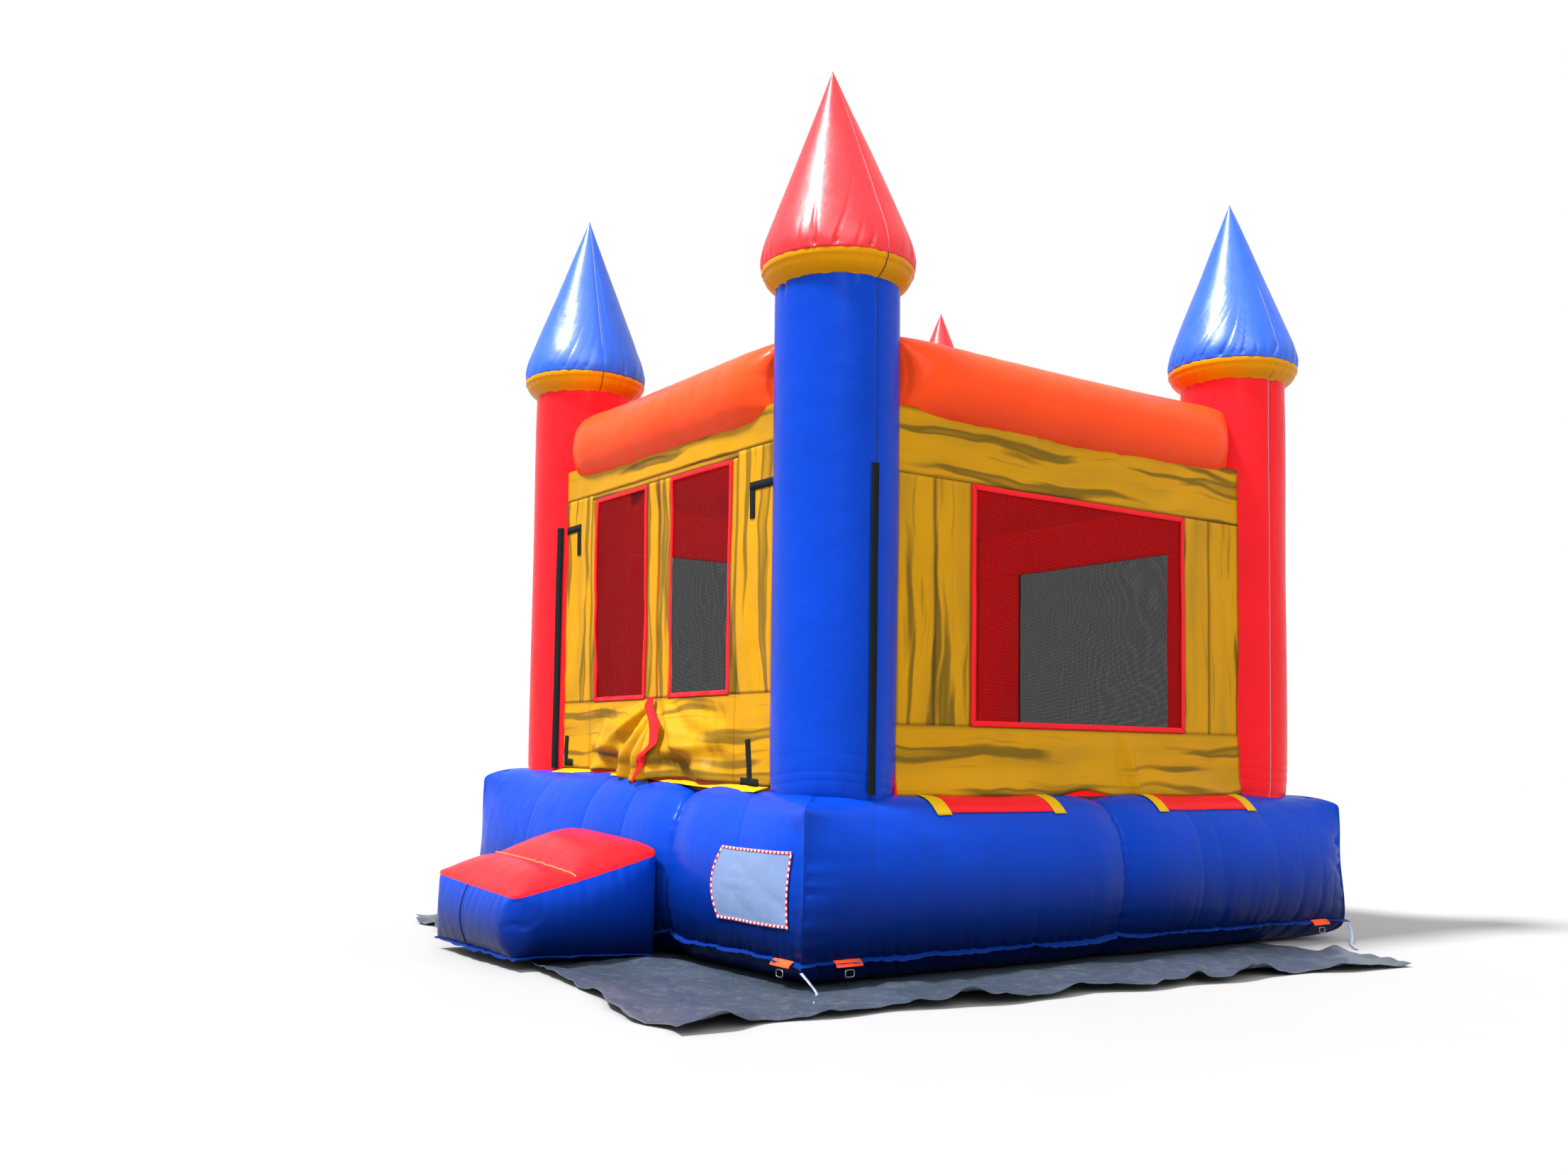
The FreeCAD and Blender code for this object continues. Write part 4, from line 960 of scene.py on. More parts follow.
def build_roof():
    x0, y0 = COL_X - 0.10, COL_Y - 0.10
    x, y = np.meshgrid(np.linspace(-x0, x0, 90), np.linspace(-y0, y0, 100), indexing="ij")
    # round off the corners where the columns stand
    cx, cy = np.abs(x) - COL_X, np.abs(y) - COL_Y
    far = np.hypot(cx, cy)
    push = np.where(far < COL_R - 0.01, (COL_R - 0.01) / np.maximum(far, 1e-6), 1.0)
    x, y = np.sign(x) * (COL_X + cx * push), np.sign(y) * (COL_Y + cy * push)
    z = ROOF_Z + 0.002 - 0.055 * (1 - (x / x0) ** 2) * (1 - (y / y0) ** 2) + 0.008 * field(x, y, 501, 0.5)
    z -= 0.012 * gathers(x, 502, 0.2, 1.5) * np.exp(-np.abs(y0 - np.abs(y)) / 0.3)
    z -= 0.012 * gathers(y, 503, 0.2, 1.5) * np.exp(-np.abs(x0 - np.abs(x)) / 0.3)
    for seam in (-0.52, 0.52):
        z -= 0.010 * bell(x, seam + 0.004 * wander(y, 504, 0.3), 0.02)
    obj = thicken(grid("roof_sheet", np.stack([x, y, z], -1)), 0.003)
    apply_modifiers(obj)
    two_sided(obj, M["red"], M["liner"], lambda face: face.normal.z < 0)
    piece(obj, HOUSE, None, "red_vinyl", "roof_cover")


# ------------------------------------------------------------------ walls


def wall_frame(side):
    """A wall's distance from the middle and its half width."""
    deep, wide = (COL_Y, COL_X) if side in (FRONT, BACK) else (COL_X, COL_Y)
    return deep + WALL_OUT, wide - 0.225


def crumple(a, z):
    """How far the loose lower part of the front wall stands out."""
    low = ease(1.37, 0.98, z)
    skirt = 0.12 * low * bell(a, -0.02, 0.5) * ease(0.84, 0.55, np.abs(a))
    phi = np.arctan2(a, 1.40 - z)
    reach = np.hypot(a, 1.40 - z)
    tied = ease(0.80, 0.66, np.abs(a)) * ease(1.37, 1.22, z)
    # folds that fan out from the foot of the slit: (height, angle, width)
    fold = 0.012 * np.sin(phi * 21 + 1.0 + 1.6 * wander(reach, 611, 0.2))
    for height, angle, width in (
        (0.052, -0.95, 0.17), (0.050, 0.93, 0.17), (-0.030, -0.66, 0.14), (-0.028, 0.62, 0.15),
        (0.034, -0.32, 0.12), (0.030, 0.33, 0.1), (0.03, 0.02, 0.11), (-0.022, 0.17, 0.07),
        (-0.022, -0.14, 0.07),
    ):
        fold = fold + height * bell(phi, angle, width)
    fine = 0.012 * gathers(a * 1.3 + 0.6 * z, 612, 0.12, 1.5) * tied
    roll = 0.034 * bell(z, 1.04 + 0.10 * np.abs(a), 0.04) * tied * bell(np.abs(a), 0.42, 0.25)
    tuck = -0.03 * bell(z, 0.97 + 0.08 * np.abs(a), 0.04) * tied * bell(np.abs(a), 0.45, 0.25)
    return skirt + fold * tied * ease(0.02, 0.26, reach) - fine + roll + tuck


def push(side, a, z):
    """Outward stand of a wall's sheet from its plane."""
    seed = 600 + side
    p = 0.006 * field(a, z, seed, 0.45) + 0.003 * field(a, z, seed + 1, 0.15)
    p = p - 0.004 * gathers(z, seed + 2, 0.2, 1.5) * np.exp(-(wall_frame(side)[1] - np.abs(a)) / 0.12)
    p = p - 0.006 * gathers(a, seed + 3, 0.16, 1.6) * np.exp(-(WALL_HIGH - np.minimum(z, WALL_HIGH)) / 0.12)
    if side == FRONT:
        slack = 0.012 * gathers(a + 0.2 * z, seed + 5, 0.22, 1.2) * ease(2.5, 1.6, z)
        p = p - slack * ease(0.0, 0.1, np.abs(np.abs(a) - 0.45)) + crumple(a, z)
    else:
        lean = a + 0.25 * (z - 1.0)
        p = p + 0.034 * bell(lean, 0.37, 0.03) * ease(1.22, 1.04, z)
        p = p - 0.014 * bell(lean, 0.30, 0.04) * ease(1.22, 1.04, z)
        flare = ease(1.0, 0.86, z) * (bell(a, -0.72, 0.36) ** 0.6 + bell(a, 0.83, 0.33) ** 0.6)
        p = p + 0.055 * flare - 0.012 * flare * gathers(a, seed + 8, 0.14, 1.4)
    return p


def on_wall(side, a, z, lift=0.0):
    """Points on a wall's sheet: side, metres along it, height, lift."""
    out, _ = wall_frame(side)
    a, z = np.broadcast_arrays(np.asarray(a, float), np.asarray(z, float))
    o = out + push(side, a, z) + lift
    return spin(np.stack([a, -o, z], -1), side)


def board(side, a0, a1, z0, z1, along_a, seed, foot=None, step=0.02, lift=0.0):
    """One printed board: its points and its cloth coordinates (along, across, to the edge)."""
    na, nz = max(3, int((a1 - a0) / step) + 2), max(3, int((z1 - z0) / step) + 2)
    a, z = np.meshgrid(np.linspace(a0, a1, na), np.linspace(z0, z1, nz), indexing="ij")
    flat_z = z
    if foot is not None:
        z = z + (foot(a) - z0) * (z1 - z) / (z1 - z0)
    points = on_wall(side, a, z, lift)
    along, across = (a, flat_z) if along_a else (flat_z, a)
    edge = np.minimum(flat_z - z0, z1 - flat_z) if along_a else np.minimum(a - a0, a1 - a)
    return points, np.stack([along + 3.7 * seed, across + 1.9 * seed, np.maximum(edge, 0)], -1)


def foot_of(side):
    """The wall's lower edge: it lifts off the base between the patches."""

    def foot(a):
        if side == FRONT:
            droop = -0.045 * bell(a, -0.02, 0.2) - 0.004 * wander(a, 640, 0.1)
            return 0.872 + droop + swell(a, -1.75 + 0 * a)
        return 0.848 + 0.03 * bell(a, 0.0, 0.13) + 0.004 * wander(a, 641 + side, 0.12)

    return foot


def ring_on_wall(name, side, a0, a1, z0, z1, width, lift, thick=0.003):
    """A flat border sewn round a window: four mitred strips, from outer to inner edge."""
    t = np.linspace(0, 1, 70)[:, None]
    parts = []
    outer = np.array([(a0, z0), (a1, z0), (a1, z1), (a0, z1)])
    inner = outer + width * np.array([(1, 1), (-1, 1), (-1, -1), (1, -1)])
    for i in range(4):
        p, q, r, s = outer[i], outer[(i + 1) % 4], inner[i], inner[(i + 1) % 4]
        rows = []
        for k in np.linspace(0, 1, 5):
            line = (p + (q - p) * t) * (1 - k) + (r + (s - r) * t) * k
            rows.append(on_wall(side, line[:, 0], line[:, 1], lift + 0.002 * math.sin(math.pi * k)))
        parts.append((np.stack(rows, 1), None))
    return thicken(patches(name, parts), thick)


def net_on_wall(name, side, a0, a1, z0, z1, seed):
    """The net in a window, a little slack."""
    a, z = np.meshgrid(np.linspace(a0, a1, 60), np.linspace(z0, z1, 80), indexing="ij")
    inside = np.minimum.reduce([a - a0, a1 - a, z - z0, z1 - z])
    slack = ease(0, 0.12, inside)
    sway = 0.006 * field(a, z, seed, 0.3) - 0.008 * gathers(a + 0.7 * z, seed + 1, 0.35, 1.5)
    return patches(name, [(on_wall(side, a, z, -0.003 + slack * sway), np.stack([a, z, 0 * a], -1))])


def liner_on_wall(name, side, half, window, z0, z1, seed):
    """The red inside face of a wall, with the same window."""
    wa, w0, w1 = window
    parts = []
    for a0, a1, b0, b1 in (
        (-half, half, w1, z1), (-half, half, z0, w0), (-half, -wa, w0, w1), (wa, half, w0, w1)
    ):
        na, nz = max(3, int((a1 - a0) / 0.03) + 2), max(3, int((b1 - b0) / 0.03) + 2)
        a, z = np.meshgrid(np.linspace(a0, a1, na), np.linspace(b0, b1, nz), indexing="ij")
        parts.append((on_wall(side, a, z, -0.014 + 0.003 * field(a, z, seed, 0.2)), None))
    return patches(name, parts)


def build_wall(side):
    name = SIDE[side]
    half = wall_frame(side)[1]
    window = WIN_BACK if side == BACK else WIN_RIGHT
    s = side / 90
    head = WALL_HIGH + 0.03
    parts = [
        board(side, -half, half, WIN_HIGH, head, True, 1 + s),
        board(side, -half, half, WALL_FOOT, WIN_LOW, True, 5 + s, foot_of(side)),
    ]
    for sign in (-1, 1):
        near, far = (-half, -window) if sign < 0 else (window, half)
        middle = near + (far - near) * (0.5 if sign < 0 else 0.45)
        parts.append(board(side, near, middle, WIN_LOW, WIN_HIGH, False, 7 + s + sign))
        parts.append(board(side, middle, far, WIN_LOW, WIN_HIGH, False, 11 + s + sign))
    sheet = thicken(patches(name + "_wall_sheet", parts), SHEET)
    slot = "yellow_vinyl" if side == RIGHT else "red_vinyl"
    piece(sheet, HOUSE, M["planks"], slot, name + "_wall_panel")
    inner = (window - BORDER, WIN_LOW + BORDER, WIN_HIGH - BORDER)
    liner = liner_on_wall(name + "_wall_liner", side, half, inner, WALL_FOOT, WALL_HIGH + 0.02, 620 + side)
    piece(thicken(liner, SHEET), HOUSE, M["liner"], "red_vinyl")
    wide, low, high = window - HOLD, WIN_LOW + HOLD, WIN_HIGH - HOLD
    mesh = net_on_wall(name + "_net", side, -wide, wide, low, high, 630 + side)
    piece(mesh, HOUSE, M["net"], "mesh", name + "_window_mesh")
    border = ring_on_wall(name + "_border_tape", side, -window, window, WIN_LOW, WIN_HIGH, BORDER, 0.0035)
    piece(border, HOUSE, M["red"], "red_vinyl", name + "_window_border")


def build_front():
    out, half = wall_frame(FRONT)
    foot = foot_of(FRONT)
    split = PANE[2]
    head = WALL_HIGH + 0.06
    parts = [board(FRONT, -half, half, DOOR_TOP, head, True, 21)]
    header = thicken(patches("front_header_sheet", parts), SHEET)
    piece(header, HOUSE, M["planks"], "yellow_vinyl", "front_wall_header")
    for sign, word in ((1, "right"), (-1, "left")):
        ends = sorted((sign * DOOR_HALF, sign * half))
        parts = [
            board(FRONT, *ends, split, DOOR_TOP, False, 23 + sign),
            board(FRONT, *ends, FRONT_FOOT, split, True, 27, foot),
        ]
        strip = thicken(patches("front_strip_" + word, parts), SHEET)
        piece(strip, HOUSE, M["planks"], "yellow_vinyl", "front_wall_%s_strip" % word)
        build_leaf(sign, word, foot)
    build_pull()
    # plain yellow strip along the foot of the front wall, on top of the base
    a = np.linspace(-1.12, 1.12, 200)
    rows = []
    for k in np.linspace(0, 1, 8):
        o = 0.02 - k * 0.105 + 0.004 * wander(a, 660, 0.15)
        z = 0.86 + 0.010 * (1 - k) ** 2 - 0.016 * k**2 + 0.003 * wander(a, 661, 0.1)
        rows.append(np.stack([a, -(out - o), z + swell(a, -1.75 + 0 * a)], 1))
    sill = thicken(patches("front_sill_strip", [(np.stack(rows, 1), None)]), 0.002)
    piece(sill, HOUSE, M["plain"], "yellow_vinyl", "front_sill")


def build_leaf(sign, word, foot):
    """One half of the entrance: printed boards round a tall window."""
    body, slit = DOOR[sign], 0.003
    p_in, p_out, p_low, p_high = PANE

    def span(a0, a1):
        return sorted((sign * a0, sign * a1))

    parts = [
        board(FRONT, *span(slit, DOOR_HALF), p_high, DOOR_TOP - 0.002, True, 31 + sign),
        board(FRONT, *span(slit, DOOR_HALF), FRONT_FOOT, p_low, True, 27, foot, 0.012),
        board(FRONT, *span(slit, p_in), p_low, p_high, False, 35 + sign),
        board(FRONT, *span(p_out, DOOR_HALF), p_low, p_high, False, 39 + sign),
    ]
    leaf = thicken(patches("door_sheet_" + word, parts), SHEET)
    piece(leaf, body, M["planks"], "yellow_vinyl", "door_leaf_" + word)
    a0, a1 = span(p_in + HOLD, p_out - HOLD)
    low, high = p_low + HOLD, p_high - HOLD
    mesh = net_on_wall("door_net_" + word, FRONT, a0, a1, low, high, 670 + sign)
    piece(mesh, body, M["net"], "mesh", "door_mesh_" + word)
    border = ring_on_wall("door_border_" + word, FRONT, *span(p_in, p_out), p_low, p_high, 0.025, 0.0035)
    piece(border, body, M["red"], "red_vinyl")


def build_pull():
    """The red strip that hangs from the bottom of the slit and lies out over the base."""
    out, _ = wall_frame(FRONT)
    heights = np.linspace(1.36, 0.885, 80)
    knots = [0.885, 0.98, 1.09, 1.22, 1.30, 1.36]
    middle = np.interp(heights, knots, [0.075, 0.105, 0.145, 0.11, 0.0, -0.02])
    width = np.interp(heights, knots, [0.02, 0.085, 0.10, 0.12, 0.09, 0.04])
    soften = np.ones(9) / 9
    middle = np.convolve(np.pad(middle, 4, "edge"), soften, "valid")
    width = np.convolve(np.pad(width, 4, "edge"), soften, "valid")
    knots = [0.885, 0.985, 1.10, 1.22, 1.30, 1.36]
    reach = np.interp(heights, knots, [1.9, 1.865, 1.83, 1.79, 1.76, out + 0.012])
    reach = np.maximum(reach, out + 0.016 + push(FRONT, middle, heights))
    reach = np.convolve(np.pad(reach, 4, "edge"), soften, "valid")
    rows = []
    for k in np.linspace(-1, 1, 17):
        a = middle + k * width / 2 + 0.008 * np.sin(19 * heights + k)
        y = -(reach + 0.008 * np.sin(3 * k + 13 * heights))
        rows.append(np.stack([a, y, heights + 0.010 * k * np.sin(14 * heights)], 1))
    strip = thicken(patches("door_pull_tape", [(np.stack(rows, 1), None)]), 0.002)
    piece(strip, DOOR[1], M["ribbon"], "red_vinyl", "door_pull_strip")


def build_banner():
    """Black hook-and-loop strips on the front wall and on the two front columns."""
    half, wide = wall_frame(FRONT)[1], 0.042
    strips = []

    # on the wall: from (along, height) to (along, height)
    for a0, z0, a1, z1 in (
        (-half, 2.425, -0.946, 2.425), (-0.967, 2.404, -0.967, 2.255), (0.925, 2.40, half, 2.40),
        (0.946, 2.379, 0.946, 2.235), (0.935, 1.12, 0.955, 0.915), (0.87, 0.908, 1.04, 0.902),
        (-1.08, 1.15, -1.09, 0.99), (-1.12, 0.99, -1.0, 0.985),
    ):
        n = 40
        path = on_wall(FRONT, np.linspace(a0, a1, n), np.linspace(z0, z1, n), 0.005)
        level = abs(a1 - a0) > abs(z1 - z0)
        across = np.tile([[0, 0, 1.0]] if level else [[1.0, 0, 0]], (n, 1))
        strips.append(band("tape", path, across, wide, 0.003))
    # on the columns: side, turn in degrees, from height to height
    for sx, angle, z0, z1 in ((-1, -52.5, 0.95, 2.446), (1, 0.0, 0.862, 2.43)):
        th = math.radians(angle)
        z = np.linspace(z0, z1, 90)
        r = COL_R + 0.0035 + 0.001 * wander(z, 700, 0.1)
        centre = (sx * COL_X, -COL_Y)
        sway = 0.012 * wander(z, 701, 0.5)
        path = np.stack([centre[0] + r * np.cos(th + sway), centre[1] + r * np.sin(th + sway), z], 1)
        across = np.tile([[-math.sin(th), math.cos(th), 0]], (90, 1))
        strips.append(band("tape", path, across, wide, 0.004))
    piece(join("banner_tapes", strips), HOUSE, M["tape"], "black_tape", "banner_strips")


# ------------------------------------------------------------------ trim on the base


def build_base_trim():
    low, high = section_share(0.268, False), section_share(0.605)
    left, right, bow = 1.165, 1.732, 0.055
    # the pale panel: its left edge bows out
    count, shares = 60, np.linspace(low, high, 40)
    a = np.linspace(left, right, count)
    rows = []
    for i, share in enumerate(shares):
        bent = a - bow * math.sin(math.pi * i / (len(shares) - 1)) * (right - a) / (right - left)
        rows.append(base_point(FRONT, bent, np.full(count, share), 0.004, true=True))
    u, v = np.meshgrid(a - left, np.linspace(0, 1, len(shares)), indexing="ij")
    panel = patches("info_panel_sheet", [(np.stack(rows, 1), np.stack([u, v, 0 * u], -1))])
    piece(thicken(panel, 0.002), HOUSE, M["pale"], "pale_vinyl", "info_panel")
    # a stitched border of short red and pale dashes round it
    groups = [], []

    def dash(k, place, share, across):
        path = base_point(FRONT, place, share, 0.0062, true=True)
        groups[k % 2].append(band("dash", path, np.tile([across], (4, 1)), 0.012, 0.002))

    a = np.linspace(left, right, 38)
    for k in range(37):
        for share in (low + 0.005, high - 0.005):
            dash(k, np.linspace(a[k], a[k + 1], 4), np.full(4, share), [0, 0.2, 1.0])
    shares = np.linspace(low, high, 25)
    for k in range(24):
        ss = np.linspace(shares[k], shares[k + 1], 4)
        inset = left + 0.006 - bow * np.sin(math.pi * (ss - low) / (high - low))
        for place in (inset, np.full(4, right - 0.006)):
            dash(k, place, ss, [1.0, 0, 0])
    light, dashes = groups
    piece(join("info_panel_dashes", dashes), HOUSE, M["red"], "red_vinyl")
    piece(join("info_panel_edge", light), HOUSE, M["pale_trim"], "pale_vinyl")

    # red patches with yellow ends on the right shoulder
    bottom, top = section_share(0.775), 0.955
    red, yellow = [], []
    for start, end, wide in ((-1.09, -0.40, 0.09), (0.46, 1.13, 0.075)):
        red.append(panel_on_shoulder(start, end, bottom, top, 0.005))
        yellow.append(panel_on_shoulder(start - wide, start, bottom - 0.008, top, 0.0065))
        yellow.append(panel_on_shoulder(end, end + 0.08, bottom - 0.008, top, 0.0065))
    for obj in red + yellow:
        apply_modifiers(obj)
    piece(join("shoulder_patch_sheet", red), HOUSE, M["red"], "red_vinyl", "shoulder_patches")
    piece(join("shoulder_patch_tapes", yellow), HOUSE, M["plain"], "yellow_vinyl", "shoulder_patch_ends")


def panel_on_shoulder(a0, a1, share0, share1, lift):
    """A panel on the right shoulder, its ends a little aslant."""
    na, nh = 50, 16
    rows = []
    for share in np.linspace(share0, share1, nh):
        slant = 0.02 * (1 - (share - share0) / (share1 - share0))
        a = np.linspace(a0, a1, na) + slant
        rows.append(base_point(RIGHT, a, np.full(na, share), lift, true=True))
    return thicken(patches("panel", [(np.stack(rows, 1), None)]), 0.003)


# ------------------------------------------------------------------ step


def simulate(obj, pins, pressure=5.0, frames=22, cap=0.06):
    """Inflate a mesh as cloth and keep the result, no point moving further than cap."""
    before = np.empty(len(obj.data.vertices) * 3)
    obj.data.vertices.foreach_get("co", before)
    group = obj.vertex_groups.new(name="pin")
    for weight, members in pins:
        group.add([int(i) for i in members], weight, "REPLACE")
    m = obj.modifiers.new("cloth", "CLOTH")
    s = m.settings
    s.quality, s.mass = 6, 0.3
    s.tension_stiffness = s.compression_stiffness = 22
    s.shear_stiffness, s.bending_stiffness = 8, 0.35
    s.use_pressure, s.uniform_pressure_force = True, pressure
    s.effector_weights.gravity = 0
    s.vertex_group_mass = "pin"
    m.collision_settings.use_collision = False
    m.point_cache.frame_start, m.point_cache.frame_end = 1, frames
    scene = bpy.context.scene
    for f in range(1, frames + 1):
        scene.frame_set(f)
    dg = bpy.context.evaluated_depsgraph_get()
    mesh = bpy.data.meshes.new_from_object(obj.evaluated_get(dg), depsgraph=dg)
    after = np.empty(len(mesh.vertices) * 3)
    mesh.vertices.foreach_get("co", after)
    move = (after - before).reshape(-1, 3)
    far = np.linalg.norm(move, axis=1, keepdims=True)
    move *= np.minimum(1, cap / np.maximum(far, 1e-9))
    obj.modifiers.clear()
    obj.vertex_groups.clear()
    obj.data.vertices.foreach_set("co", before + move.ravel())
    obj.data.update()
    scene.frame_set(1)
    return obj


def build_step():
    """Blue box with a red top in two pillows, inflated as cloth."""
    lo, hi = box("step_body")
    x0, x1 = lo[0] + 0.012, hi[0] - 0.012
    back, front, crease = STEP_BACK, lo[1] + 0.035, STEP_CREASE
    crease_row = 16
    ys = np.concatenate([np.linspace(front, crease, crease_row + 1), np.linspace(crease, back, 23)[1:]])
    top_z = np.interp(ys, [front, crease, back], [0.362, 0.442, 0.562])
    xs = np.linspace(x0, x1, 48)
    rows = 18
    foot = np.interp(ys, [front, back], [0.045, 0.03])
    knots = [front, (front + crease) / 2, crease, (crease + back) / 2, back]
    pillow = np.interp(ys, knots, [0, 1, 0, 1, 0.3])
    pillow = np.sin(0.5 * math.pi * pillow) * 0.05
    b = bmesh.new()
    cache = {}

    def vert(i, j, k):
        key = (i, j, k)
        if key not in cache:
            y = ys[j]
            f = k / rows
            u = (xs[i] - x0) / (x1 - x0)
            high = top_z[j] + 0.055 * (1 - u)
            swell_here = pillow[j] * (1 - (2 * u - 1) ** 4) * (k == rows)
            nip = 0.03 * (1 - abs(2 * f - 1)) * (j == 0)
            z = foot[j] + (high - foot[j]) * f + swell_here
            cache[key] = b.verts.new((xs[i], y - nip * 0.3, z))
        return cache[key]

    def face(corners, red):
        new = b.faces.new([vert(*key) for key in corners])
        new.material_index, new.smooth = int(red), True

    nx, ny = len(xs), len(ys)
    for i in range(nx - 1):
        for j in range(ny - 1):
            for k in (0, rows):
                face([(i, j, k), (i + 1, j, k), (i + 1, j + 1, k), (i, j + 1, k)], k > 0)
        for k in range(rows):
            for j in (0, ny - 1):
                red = k == rows - 1 and j == 0
                face([(i, j, k), (i + 1, j, k), (i + 1, j, k + 1), (i, j, k + 1)], red)
    for j in range(ny - 1):
        for k in range(rows):
            for i in (0, nx - 1):
                red = k == rows - 1
                face([(i, j, k), (i, j + 1, k), (i, j + 1, k + 1), (i, j, k + 1)], red)
    bmesh.ops.recalc_face_normals(b, faces=b.faces)
    b.verts.index_update()
    keep = {key: v.index for key, v in cache.items()}
    mesh = bpy.data.meshes.new("step_skin")
    b.to_mesh(mesh)
    b.free()
    mesh.materials.append(M["step"])
    mesh.materials.append(M["red"])
    obj = bpy.data.objects.new("step_skin", mesh)
    bpy.context.collection.objects.link(obj)
    crease_ids = [v for (i, j, k), v in keep.items() if k == rows and j == crease_row]
    back_ids = [v for (i, j, k), v in keep.items() if j == ny - 1]
    foot_ids = [v for (i, j, k), v in keep.items() if k == 0 and 0 < i < nx - 1 and 0 < j]
    rim_ids = [v for (i, j, k), v in keep.items() if k == rows and (i in (0, nx - 1) or j == 0)]
    # a small unevenness, so that the cloth wrinkles instead of rising in one piece
    for v in obj.data.vertices:
        v.co.z += 0.0015 * math.sin(61 * v.co.x) * math.sin(57 * v.co.y)
    simulate(obj, [(0.55, crease_ids), (1.0, back_ids), (1.0, foot_ids), (0.35, rim_ids)])
    pucker_step(obj, keep, nx, ny, rows, xs, ys)
    step_seams(obj, keep, nx, ny, rows, crease_row)
    sub = obj.modifiers.new("sub", "SUBSURF")
    sub.levels = sub.render_levels = 1
    apply_modifiers(obj)
    piece(obj, HOUSE, None, "blue_vinyl", "step_body", "step_top")


def step_seams(obj, keep, nx, ny, rows, crease_row):
    """Piping in the crease, a seam down the front and the spare edge round the foot."""

    def line(keys):
        return np.array([obj.data.vertices[keep[key]].co[:] for key in keys])

    piping = line([(i, crease_row, rows) for i in range(nx)]) + (0, 0, 0.004)
    pipe = tube("step_piping", piping, 0.0045)
    piece(pipe, HOUSE, M["piping"], "red_vinyl")
    i = int(nx * 0.42)
    front = line([(i, 0, k) for k in range(1, rows)]) + (0, -0.002, 0)
    seam = band("step_front_seam", front, np.tile([[1.0, 0, 0]], (len(front), 1)), 0.005, 0.003)
    piece(seam, HOUSE, M["dark_thread"], "blue_vinyl")
    keys = [(0, j, 0) for j in range(ny - 2, -1, -1)] + [(i, 0, 0) for i in range(1, nx)]
    foot = line(keys + [(nx - 1, j, 0) for j in range(1, ny - 1)])
    middle = foot.mean(0)
    away = foot - middle
    away[:, 2] = 0
    away /= np.linalg.norm(away, axis=1, keepdims=True)
    rows_out = [foot - away * 0.004, foot + away * 0.010, foot + away * 0.021]
    n = len(foot)
    for k, row in enumerate(rows_out):
        row[:, 2] += 0.010 - 0.006 * k + 0.004 * k * wander(np.arange(n), 811, 3.0)
    hem = thicken(patches("step_hem", [(np.stack(rows_out, 1), None)]), 0.003)
    piece(hem, HOUSE, M["hem"], "blue_vinyl")


def pucker_step(obj, keep, nx, ny, rows, xs, ys):
    """Short gathers down the sides from the top seam and up from the foot seam."""
    obj.data.update()
    normals = np.array([v.normal[:] for v in obj.data.vertices])
    co = np.array([v.co[:] for v in obj.data.vertices])
    press = np.zeros(len(co))
    side = 0.35  # metres of panel, taken as the side's height
    for (i, j, k), v in keep.items():
        s = xs[i] if j == 0 else ys[j] + 5
        if k in (0, rows) and 0 < i < nx - 1 and 0 < j < ny - 1:
            if k == rows:
                edge = min(xs[i] - xs[0], xs[-1] - xs[i], ys[j] - ys[0])
                press[v] -= 0.010 * float(gathers(s, 801, 0.085, 1.5)) * math.exp(-edge / 0.05)
                crease = math.exp(-abs(ys[j] - STEP_CREASE) / 0.04)
                press[v] -= 0.007 * float(gathers(xs[i], 803, 0.10, 1.5)) * crease
            continue
        drop = (rows - k) / rows * side
        press[v] -= 0.012 * float(gathers(s, 801, 0.075, 1.7)) * math.exp(-drop / 0.07) * (k < rows)
        press[v] -= 0.008 * float(gathers(s, 805, 0.09, 1.7)) * math.exp(-(side - drop) / 0.06) * (k > 0)
    co += normals * press[:, None]
    obj.data.vertices.foreach_set("co", co.ravel())
    obj.data.update()


# ------------------------------------------------------------------ tarp, tabs, ties


def build_tarp():
    """A loose sheet under the house: it lies flat below the base and ripples beyond it."""
    corners = np.array([(2.30, -2.98), (2.64, 1.28), (-1.52, 1.70), (-1.80, -2.42)])
    u, v = np.meshgrid(np.linspace(0, 1, 220), np.linspace(0, 1, 220), indexing="ij")
    p = ((1 - u) * (1 - v))[..., None] * corners[0] + (u * (1 - v))[..., None] * corners[1]
    p = p + (u * v)[..., None] * corners[2] + ((1 - u) * v)[..., None] * corners[3]
    x, y = p[..., 0].copy(), p[..., 1].copy()
    edge = np.minimum.reduce([u, 1 - u, v, 1 - v]) * 4.2
    # the edges wander in plan and roll up here and there
    near = np.exp(-edge / 0.12)
    x += 0.045 * near * wander(y, 901, 0.28) * ((u < 0.5) * 0.3 + 1)
    y += 0.05 * near * wander(x, 902, 0.25)
    under = ease(0.0, 0.10, np.maximum(np.abs(x) - BASE_X, np.abs(y) - BASE_Y))
    wave = np.maximum(field(x, y, 903, 0.3), -0.25) * 0.030 + 0.012 * np.abs(field(x, y, 904, 0.12))
    wave = wave + 0.022 * gathers(x * 0.4 + y, 906, 0.3, 1.2) * np.exp(-edge / 0.35) + 0.008
    curl = 0.055 * np.exp(-edge / 0.07) * np.maximum(wander(x * 1.3 + y, 905, 0.16), 0) ** 1.3
    z = 0.002 + under * (wave * 0.9 + 0.004) + curl * ease(0.0, 0.3, under)
    z = np.maximum(z, 0.0015)
    obj = grid("ground_tarp_sheet", np.stack([x, y, z], -1))
    thicken(obj, 0.0012, 1.0)
    piece(obj, HOUSE, M["tarp"], "tarp", "ground_tarp")


def anchor_places():
    """Two on each side, near its ends: side, place along it, distance from the middle."""
    along = {True: BASE_X - 0.130, False: BASE_Y - 0.244}
    for side in SIDE:
        for sign in (-1, 1):
            yield side, sign * along[side in (FRONT, BACK)], base_frame(side)[1]


